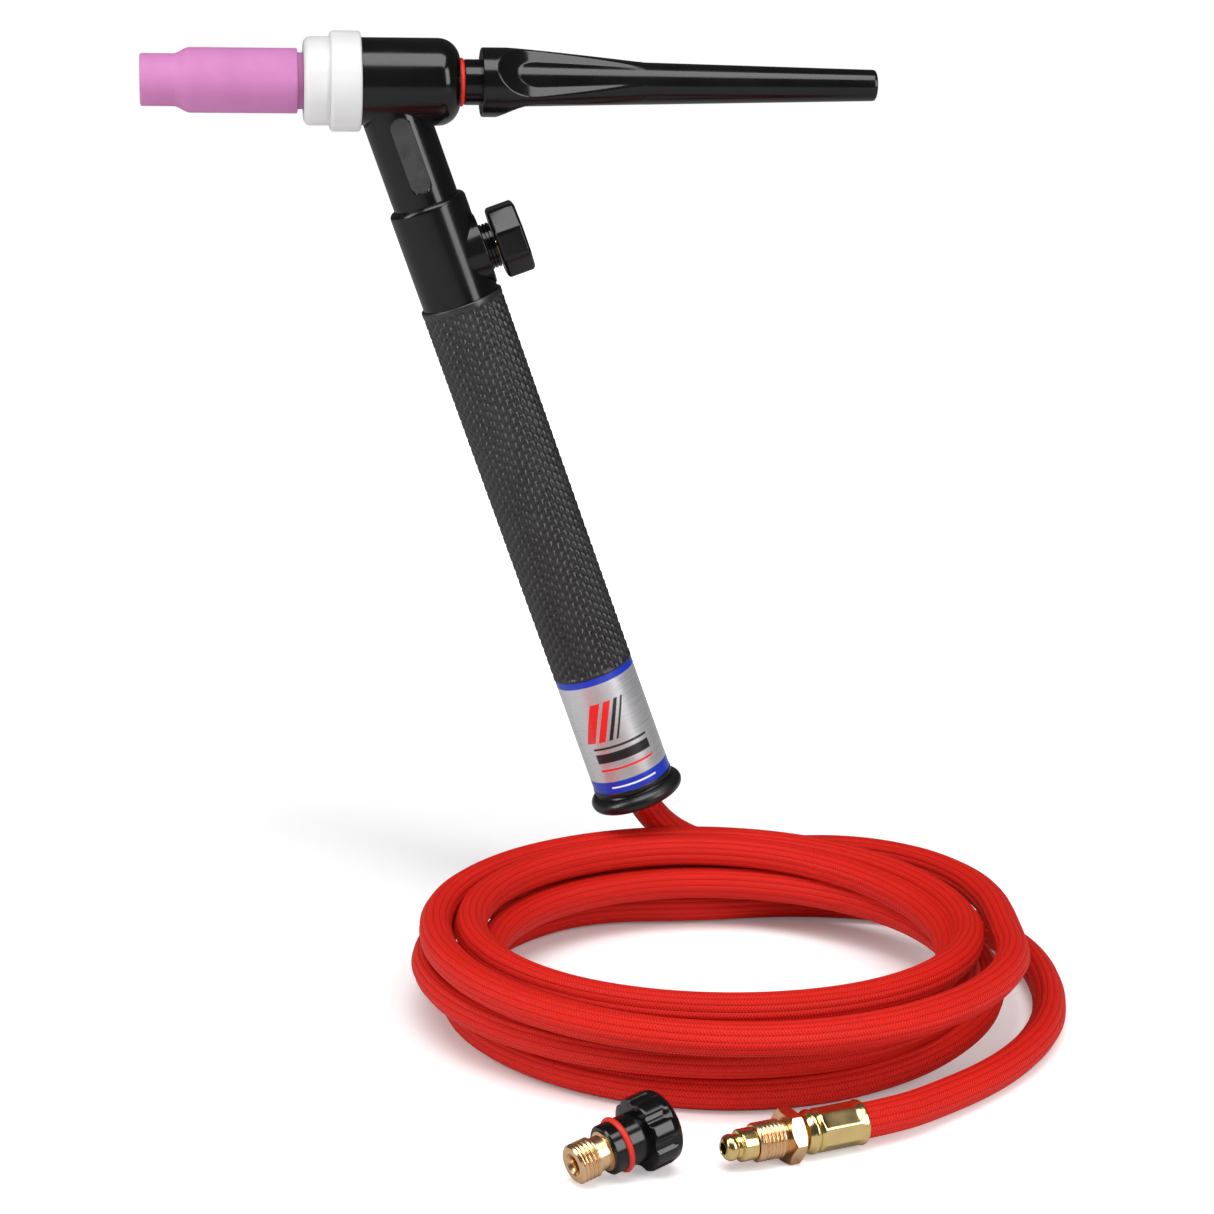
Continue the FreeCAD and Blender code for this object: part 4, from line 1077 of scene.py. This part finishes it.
def build_hose():
    """Braided hose as one tube along its route, with lengthwise ridges and two closed ends."""
    sizes = bpy.context.scene.torch_sizes
    ridges = sizes.hose_ridges
    points = hose_line()
    run = [0.0]
    for point, following in zip(points, points[1:]):
        run.append(run[-1] + (following - point).length)
    around = ridges * 4
    bm = bmesh.new()
    layer = bm.loops.layers.uv.new("UVMap")
    side = Vector((0, 1, 0))
    rings = []
    for index, point in enumerate(points):
        ahead = points[min(index + 1, len(points) - 1)] - points[max(index - 1, 0)]
        ahead.normalize()
        side = (side - ahead * side.dot(ahead)).normalized()
        third = ahead.cross(side)
        ring = []
        for number in range(around):
            angle = 2 * math.pi * number / around
            crest = math.cos(ridges * angle)
            wave = sum(math.sin(lobes * angle + run[index] * rate) for lobes, rate in WAVES)
            groove = sizes.ridge_height * (0.5 - 0.5 * crest)
            radius = HOSE_R * MM - groove + WAVE_HEIGHT * (wave - WAVE_SINK)
            ring.append(bm.verts.new(point + (side * math.cos(angle) + third * math.sin(angle)) * radius))
        rings.append(ring)
    for index, (ring, following) in enumerate(zip(rings, rings[1:])):
        for number in range(around):
            after = (number + 1) % around
            face = bm.faces.new((ring[number], ring[after], following[after], following[number]))
            left, right = number * ridges / around, (number + 1) * ridges / around
            low, high = run[index] / STITCH_LENGTH, run[index + 1] / STITCH_LENGTH
            for loop, uv in zip(face.loops, ((left, low), (right, low), (right, high), (left, high))):
                loop[layer].uv = (uv[0] + 0.5, uv[1])
    bm.faces.new(rings[0])
    bm.faces.new(rings[-1])
    hose = add_piece("braided_hose", bm, Matrix.Identity(4), red_braid(), "root",
                     ["hose_lead", "hose_coil", "hose_tail"], sharp=80.0)


# ---- fitting
FERRULE_LENGTH = 15.5
FERRULE_R = 5.3
HEX_FLATS = 12.0
NUT_BACK = FERRULE_LENGTH + 1.6
HEX_END = NUT_BACK + 4.0
NUT_FRONT = HEX_END + 7.6
STEM_R = 3.1
THREAD_R = 4.7625
CRIMPS = 8


def build_ferrule():
    """Crimped brass ferrule: rolled mouth, long crimp flats and a beaded front."""
    front = FERRULE_LENGTH
    outline = [(-1.0, HOSE_R), (-1.0, FERRULE_R + 0.1), (-0.8, FERRULE_R + 0.25), (-0.4, FERRULE_R + 0.32)]
    outline += [(z, FERRULE_R + 0.12) for z in rows(0.2, front - 4.2, 0.35)]
    bead = front - 2.2
    outline += [(front - 3.7, FERRULE_R - 0.1), (front - 3.4, FERRULE_R - 0.45)]
    outline += [(bead + 0.95 * math.sin(turn), FERRULE_R - 0.75 + 0.95 * math.cos(turn))
                for turn in (math.radians(angle) for angle in range(-60, 61, 15))]
    outline += [(front - 0.25, FERRULE_R - 0.6), (front, FERRULE_R - 1.0), (front, STEM_R), (0.0, STEM_R),
                (0.0, HOSE_R)]
    bm = lathe(outline, steps=192)

    def radius_at(z, angle, radius):
        if radius < FERRULE_R or not 0.0 < z < front - 3.8:
            return radius
        flat = (FERRULE_R - 0.22) / math.cos(off_centre(angle, CRIMPS))
        pressed = smooth_min(radius, flat, 0.12)
        fade = min(1.0, (z - 0.6) / 1.2, (front - 4.0 - z) / 0.8)
        return radius + (pressed - radius) * max(0.0, fade)
    reshape(bm, radius_at)
    add_piece("crimped_ferrule", bm, FITTING, bright_brass(), "root", ["hose_ferrule"])


def build_nipple():
    """Brass nipple: stem, shoulder ring, rounded nose and gas bore."""
    shoulder = NUT_FRONT + 0.15
    ring_end = shoulder + 4.4
    nose = ring_end + 3.6
    outline = [(0.0, 1.4), (0.0, STEM_R), (shoulder, STEM_R)]
    outline += [(shoulder, 3.6), (shoulder + 0.1, 3.85), (shoulder + 0.35, 3.95),
                (ring_end - 0.9, 3.95), (ring_end - 0.6, 3.85), (ring_end - 0.4, 3.5),
                (ring_end - 0.3, 3.0), (ring_end + 0.15, 2.95)]
    outline += [(ring_end + 1.75 - 1.65 * math.cos(turn), 1.75 + 1.5 * math.sin(turn))
                for turn in (math.radians(angle) for angle in range(40, 151, 10))]
    outline += [(nose, 1.9), (nose, 1.5), (nose - 0.15, 1.4)]
    bm = lathe(outline, steps=144)
    add_piece("nipple", bm, FITTING, bright_brass(), "root", ["fitting_nipple"])


def build_nut():
    """Union nut: chamfered hexagon, relief and a cut outside thread."""
    half = HEX_FLATS / 2
    corner = half / math.cos(math.pi / 6)
    hexagon = bmesh.new()
    bmesh.ops.create_circle(hexagon, cap_ends=True, radius=corner, segments=6,
                            matrix=Matrix.Translation((0, 0, NUT_BACK)))
    raised = bmesh.ops.extrude_face_region(hexagon, geom=hexagon.faces[:])
    top = [item for item in raised["geom"] if isinstance(item, bmesh.types.BMVert)]
    bmesh.ops.translate(hexagon, verts=top, vec=(0, 0, HEX_END - NUT_BACK))
    bmesh.ops.subdivide_edges(hexagon, edges=hexagon.edges[:], cuts=7, use_grid_fill=True)
    for vertex in hexagon.verts:
        radius = math.hypot(vertex.co.x, vertex.co.y)
        front = HEX_END - max(0.0, radius - (half - 0.35)) * 0.85
        back = NUT_BACK + max(0.0, radius - (half + 0.15)) * 0.6
        vertex.co.z = min(max(vertex.co.z, back), front)
    wrap_uv(hexagon)
    start = HEX_END - 0.5
    outline = [(start, STEM_R + 0.1), (start, THREAD_R - 0.6), (HEX_END + 0.6, THREAD_R - 0.6)]
    outline += [(z, THREAD_R) for z in rows(HEX_END + 0.85, NUT_FRONT - 0.45, 0.07)]
    outline += [(NUT_FRONT - 0.05, THREAD_R - 0.45), (NUT_FRONT, THREAD_R - 0.6), (NUT_FRONT, STEM_R + 0.1)]
    thread = lathe(outline, steps=128)
    pitch = bpy.context.scene.torch_sizes.thread_pitch / MM
    reshape(thread, threaded(HEX_END + 0.7, NUT_FRONT - 0.3, pitch, 0.50, THREAD_R - 0.1))
    wrap_uv(thread)
    bm = merged((hexagon, None), (thread, None))
    add_piece("union_nut", bm, FITTING, pink_brass(), "fitting_nut", ["fitting_nut"], sharp=45.0)


# ---- spare short back cap
SPARE_HEAD_R = 9.2
SPARE_FLUTES = 8


def build_spare_cap():
    """Short back cap: domed head with scalloped grips, barrel, seal groove and collar."""
    groove = CAP_BARREL_R - SEAL_CORD_R
    face = SPARE_HEAD_LENGTH
    dome = [(2.6 - 2.6 * math.cos(turn), (SPARE_HEAD_R - 3.4) + 3.25 * math.sin(turn))
            for turn in (math.radians(angle) for angle in range(0, 91, 9))]
    outline = [(0.0, 0.0), (0.0, 2.0)] + dome
    outline += [(z, SPARE_HEAD_R) for z in rows(2.9, face - 0.5, 0.3)]
    outline += [(face - 0.15, SPARE_HEAD_R - 0.12), (face, SPARE_HEAD_R - 0.5), (face, CAP_BARREL_R)]
    seal = SPARE_SEAL_AT
    outline += [(SPARE_BARREL_END - 0.15, CAP_BARREL_R), (SPARE_BARREL_END, CAP_BARREL_R - 0.15),
                (SPARE_BARREL_END, groove), (seal + SEAL_CORD_R, groove),
                (seal + SEAL_CORD_R, CAP_BARREL_R - 0.15), (seal + SEAL_CORD_R + 0.15, CAP_BARREL_R),
                (SPARE_COLLAR_END - 0.4, CAP_BARREL_R), (SPARE_COLLAR_END, CAP_BARREL_R - 0.4),
                (SPARE_COLLAR_END, CAP_THREAD_R), (face, CAP_THREAD_R), (face, 0.0)]
    bm = lathe(outline, steps=288, closed=False)
    flute_r, flute_at = 2.6, SPARE_HEAD_R + 1.7

    def radius_at(z, angle, radius):
        if radius < CAP_BARREL_R + 0.2 or z < 1.6 or z > face + 0.01:
            return radius
        turn = off_centre(angle, SPARE_FLUTES)
        aside = flute_at * math.sin(turn)
        if abs(aside) >= flute_r:
            return radius
        depth = flute_at * math.cos(turn) - math.sqrt(flute_r ** 2 - aside ** 2)
        grown = min(1.0, max(0.0, (z - 1.6) / 2.2)) ** 0.6
        cut = smooth_min(radius, depth, 0.25)
        return radius + (cut - radius) * grown
    reshape(bm, radius_at)
    add_piece("spare_cap", bm, SPARE, gloss_black(), "spare_cap", ["spare_cap_shell"])


def build_spare_thread():
    """Brass insert of the spare cap: plain neck and cut outside thread."""
    neck_end = SPARE_COLLAR_END + 3.4
    end = neck_end + 5.4
    outline = [(SPARE_HEAD_LENGTH, 1.7), (SPARE_HEAD_LENGTH, CAP_THREAD_R),
               (SPARE_COLLAR_END + 0.3, CAP_THREAD_R), (SPARE_COLLAR_END + 0.6, CAP_THREAD_R - 0.7),
               (neck_end, CAP_THREAD_R - 0.7)]
    outline += [(z, CAP_THREAD_R) for z in rows(neck_end + 0.2, end - 0.5, 0.07)]
    outline += [(end, CAP_THREAD_R - 0.5), (end, 2.8), (end - 0.3, 2.65), (end - 1.6, 1.7)]
    bm = lathe(outline, steps=128)
    pitch = bpy.context.scene.torch_sizes.thread_pitch / MM
    reshape(bm, threaded(neck_end + 0.1, end - 0.3, pitch, 0.45, CAP_THREAD_R - 0.1))
    add_piece("spare_thread", bm, SPARE, pink_brass(), "spare_cap", ["spare_cap_ferrule"])


# ---- inner pieces
def finish_inner_parts():
    """Materials of the CAD nodes that stay: pieces inside the head, valve and handle."""
    finishes = {
        bright_brass: ["torch_body", "neck_tube", "valve_block", "valve_spindle", "cable_connector",
                       "cable_crimp"],
        bare_copper: ["collet_body", "collet", "power_core"],
        plated_steel: ["knob_screw"],
        black_rubber: ["valve_o_ring", "handle_hose"],
    }
    for finish, nodes in finishes.items():
        for node in nodes:
            slots = frame["nodes"][node].data.materials
            slots.clear()
            slots.append(finish())


# ---- stage
CAMERA_TURN = math.radians(-7.5)
CAMERA_RISE = math.radians(14.4)
CAMERA_ROLL = math.radians(1.15)
CAMERA_AT = Vector((-0.0918, -0.8726, 0.1907))
LENS = 94.9


def build_camera():
    """Camera a little above the torch and to its left, with a slight roll."""
    right = Vector((math.cos(CAMERA_TURN), math.sin(CAMERA_TURN), 0))
    back = Vector((math.sin(CAMERA_TURN) * math.cos(CAMERA_RISE),
                   -math.cos(CAMERA_TURN) * math.cos(CAMERA_RISE), math.sin(CAMERA_RISE)))
    up = back.cross(right)
    rolled_right = right * math.cos(CAMERA_ROLL) + up * math.sin(CAMERA_ROLL)
    rolled_up = up * math.cos(CAMERA_ROLL) - right * math.sin(CAMERA_ROLL)
    data = bpy.data.cameras.new("camera")
    data.lens = LENS
    data.sensor_width = 36.0
    data.clip_start = 0.01
    camera = link_object("camera", data)
    turn = Matrix((rolled_right, rolled_up, back)).transposed().to_4x4()
    camera.matrix_world = Matrix.Translation(CAMERA_AT) @ turn
    bpy.context.scene.camera = camera


def softbox(name, place, aim, width, height, power, shows_in_gloss=True):
    """Rectangular area light that faces a point."""
    data = bpy.data.lights.new(name, "AREA")
    data.shape = "RECTANGLE"
    data.size = width
    data.size_y = height
    data.energy = power
    light = link_object(name, data)
    light.visible_glossy = shows_in_gloss
    light.location = place
    facing = Vector(aim) - Vector(place)
    light.rotation_euler = facing.to_track_quat("-Z", "Y").to_euler()


def build_stage():
    """White floor, softboxes at both sides, overhead and in front, white backdrop and the camera."""
    bm = bmesh.new()
    bmesh.ops.create_grid(bm, x_segments=8, y_segments=8, size=1.6)
    bmesh.ops.translate(bm, verts=bm.verts[:], vec=(0, 0, FLOOR_Z - 0.0002))
    mesh = bpy.data.meshes.new("floor")
    bm.to_mesh(mesh)
    bm.free()
    mesh.materials.append(floor_white())
    floor = link_object("floor", mesh)
    aim = (0.0, -0.04, 0.0)
    softbox("left_softbox", (-1.15, -0.30, 0.45), aim, 0.42, 1.0, 9.0)
    softbox("right_softbox", (0.85, -0.95, 0.50), aim, 0.45, 0.9, 8.0)
    softbox("top_softbox", (-0.05, -0.50, 1.20), aim, 1.3, 0.8, 18.0)
    softbox("front_fill", (0.15, -1.7, 0.30), aim, 1.8, 1.0, 6.0, shows_in_gloss=False)
    world = bpy.data.worlds.new("studio")
    world.use_nodes = True
    tree = world.node_tree
    background = tree.nodes["Background"]
    path = add_node(tree, "ShaderNodeLightPath")
    tone = mix_colours(tree, path.outputs["Is Camera Ray"], (0.06, 0.06, 0.06, 1), (1.0, 1.0, 1.0, 1))
    tree.links.new(tone, background.inputs["Color"])
    bpy.context.scene.world = world
    bpy.context.scene.view_settings.view_transform = "Standard"
    build_camera()


# ---- operators
class TORCH_OT_nozzle(bpy.types.Operator):
    """Build the gas cup, the heat shield behind it and the electrode"""
    bl_idname = "torch.nozzle"
    bl_label = "Gas cup and shield"

    def execute(self, context):
        build_nozzle()
        build_gasket()
        build_electrode()
        return {"FINISHED"}


class TORCH_OT_head(bpy.types.Operator):
    """Build the moulded cover of the head and neck"""
    bl_idname = "torch.head"
    bl_label = "Head and neck"

    def execute(self, context):
        build_head_cover()
        return {"FINISHED"}


class TORCH_OT_back_cap(bpy.types.Operator):
    """Build the long back cap with its brass insert"""
    bl_idname = "torch.back_cap"
    bl_label = "Long back cap"

    def execute(self, context):
        build_back_cap()
        build_cap_thread()
        return {"FINISHED"}


class TORCH_OT_valve(bpy.types.Operator):
    """Build the valve's moulding, its collar and its knob"""
    bl_idname = "torch.valve"
    bl_label = "Valve"

    def execute(self, context):
        build_valve_body()
        build_retainer()
        build_knob()
        return {"FINISHED"}


class TORCH_OT_handle(bpy.types.Operator):
    """Build the knurled grip, its label and its end boot"""
    bl_idname = "torch.handle"
    bl_label = "Handle"

    def execute(self, context):
        build_grip()
        build_label()
        build_boot()
        return {"FINISHED"}


class TORCH_OT_fitting(bpy.types.Operator):
    """Build the crimped ferrule, the nipple and the union nut"""
    bl_idname = "torch.fitting"
    bl_label = "Brass fitting"

    def execute(self, context):
        build_ferrule()
        build_nipple()
        build_nut()
        return {"FINISHED"}


class TORCH_OT_hose(bpy.types.Operator):
    """Build the braided hose with its coil"""
    bl_idname = "torch.hose"
    bl_label = "Braided hose"

    def execute(self, context):
        build_hose()
        return {"FINISHED"}


class TORCH_OT_spare_cap(bpy.types.Operator):
    """Build the loose short back cap and both caps' seals"""
    bl_idname = "torch.spare_cap"
    bl_label = "Spare back cap"

    def execute(self, context):
        build_spare_cap()
        build_spare_thread()
        build_seals()
        return {"FINISHED"}


class TORCH_OT_inner_parts(bpy.types.Operator):
    """Give the pieces inside the torch their finishes"""
    bl_idname = "torch.inner_parts"
    bl_label = "Inner parts"

    def execute(self, context):
        finish_inner_parts()
        return {"FINISHED"}


class TORCH_OT_stage(bpy.types.Operator):
    """Set up the floor, the lights and the camera"""
    bl_idname = "torch.stage"
    bl_label = "Stage"

    def execute(self, context):
        build_stage()
        return {"FINISHED"}


OPERATORS = (TORCH_OT_stage, TORCH_OT_nozzle, TORCH_OT_head, TORCH_OT_back_cap, TORCH_OT_valve,
             TORCH_OT_handle, TORCH_OT_fitting, TORCH_OT_hose, TORCH_OT_spare_cap, TORCH_OT_inner_parts)


class TORCH_PT_sidebar(bpy.types.Panel):
    """Sidebar panel with the torch's settings and build steps"""
    bl_idname = "TORCH_PT_sidebar"
    bl_label = "TIG torch"
    bl_space_type = "VIEW_3D"
    bl_region_type = "UI"
    bl_category = "Torch"

    def draw(self, context):
        layout = self.layout
        for settings in (context.scene.torch_sizes, context.scene.torch_colours):
            for name in settings.__annotations__:
                layout.prop(settings, name)
        for operator in OPERATORS:
            layout.operator(operator.bl_idname)


CLASSES = (TorchSizes, TorchColours, *OPERATORS, TORCH_PT_sidebar)


def register():
    for cls in CLASSES:
        bpy.utils.register_class(cls)
    bpy.types.Scene.torch_sizes = PointerProperty(type=TorchSizes)
    bpy.types.Scene.torch_colours = PointerProperty(type=TorchColours)


def unregister():
    del bpy.types.Scene.torch_colours
    del bpy.types.Scene.torch_sizes
    for cls in reversed(CLASSES):
        bpy.utils.unregister_class(cls)


def main():
    register()
    bpy.ops.torch.stage()
    bpy.ops.torch.nozzle()
    bpy.ops.torch.head()
    bpy.ops.torch.back_cap()
    bpy.ops.torch.valve()
    bpy.ops.torch.handle()
    bpy.ops.torch.fitting()
    bpy.ops.torch.hose()
    bpy.ops.torch.spare_cap()
    bpy.ops.torch.inner_parts()


if __name__ == "__main__":
    main()
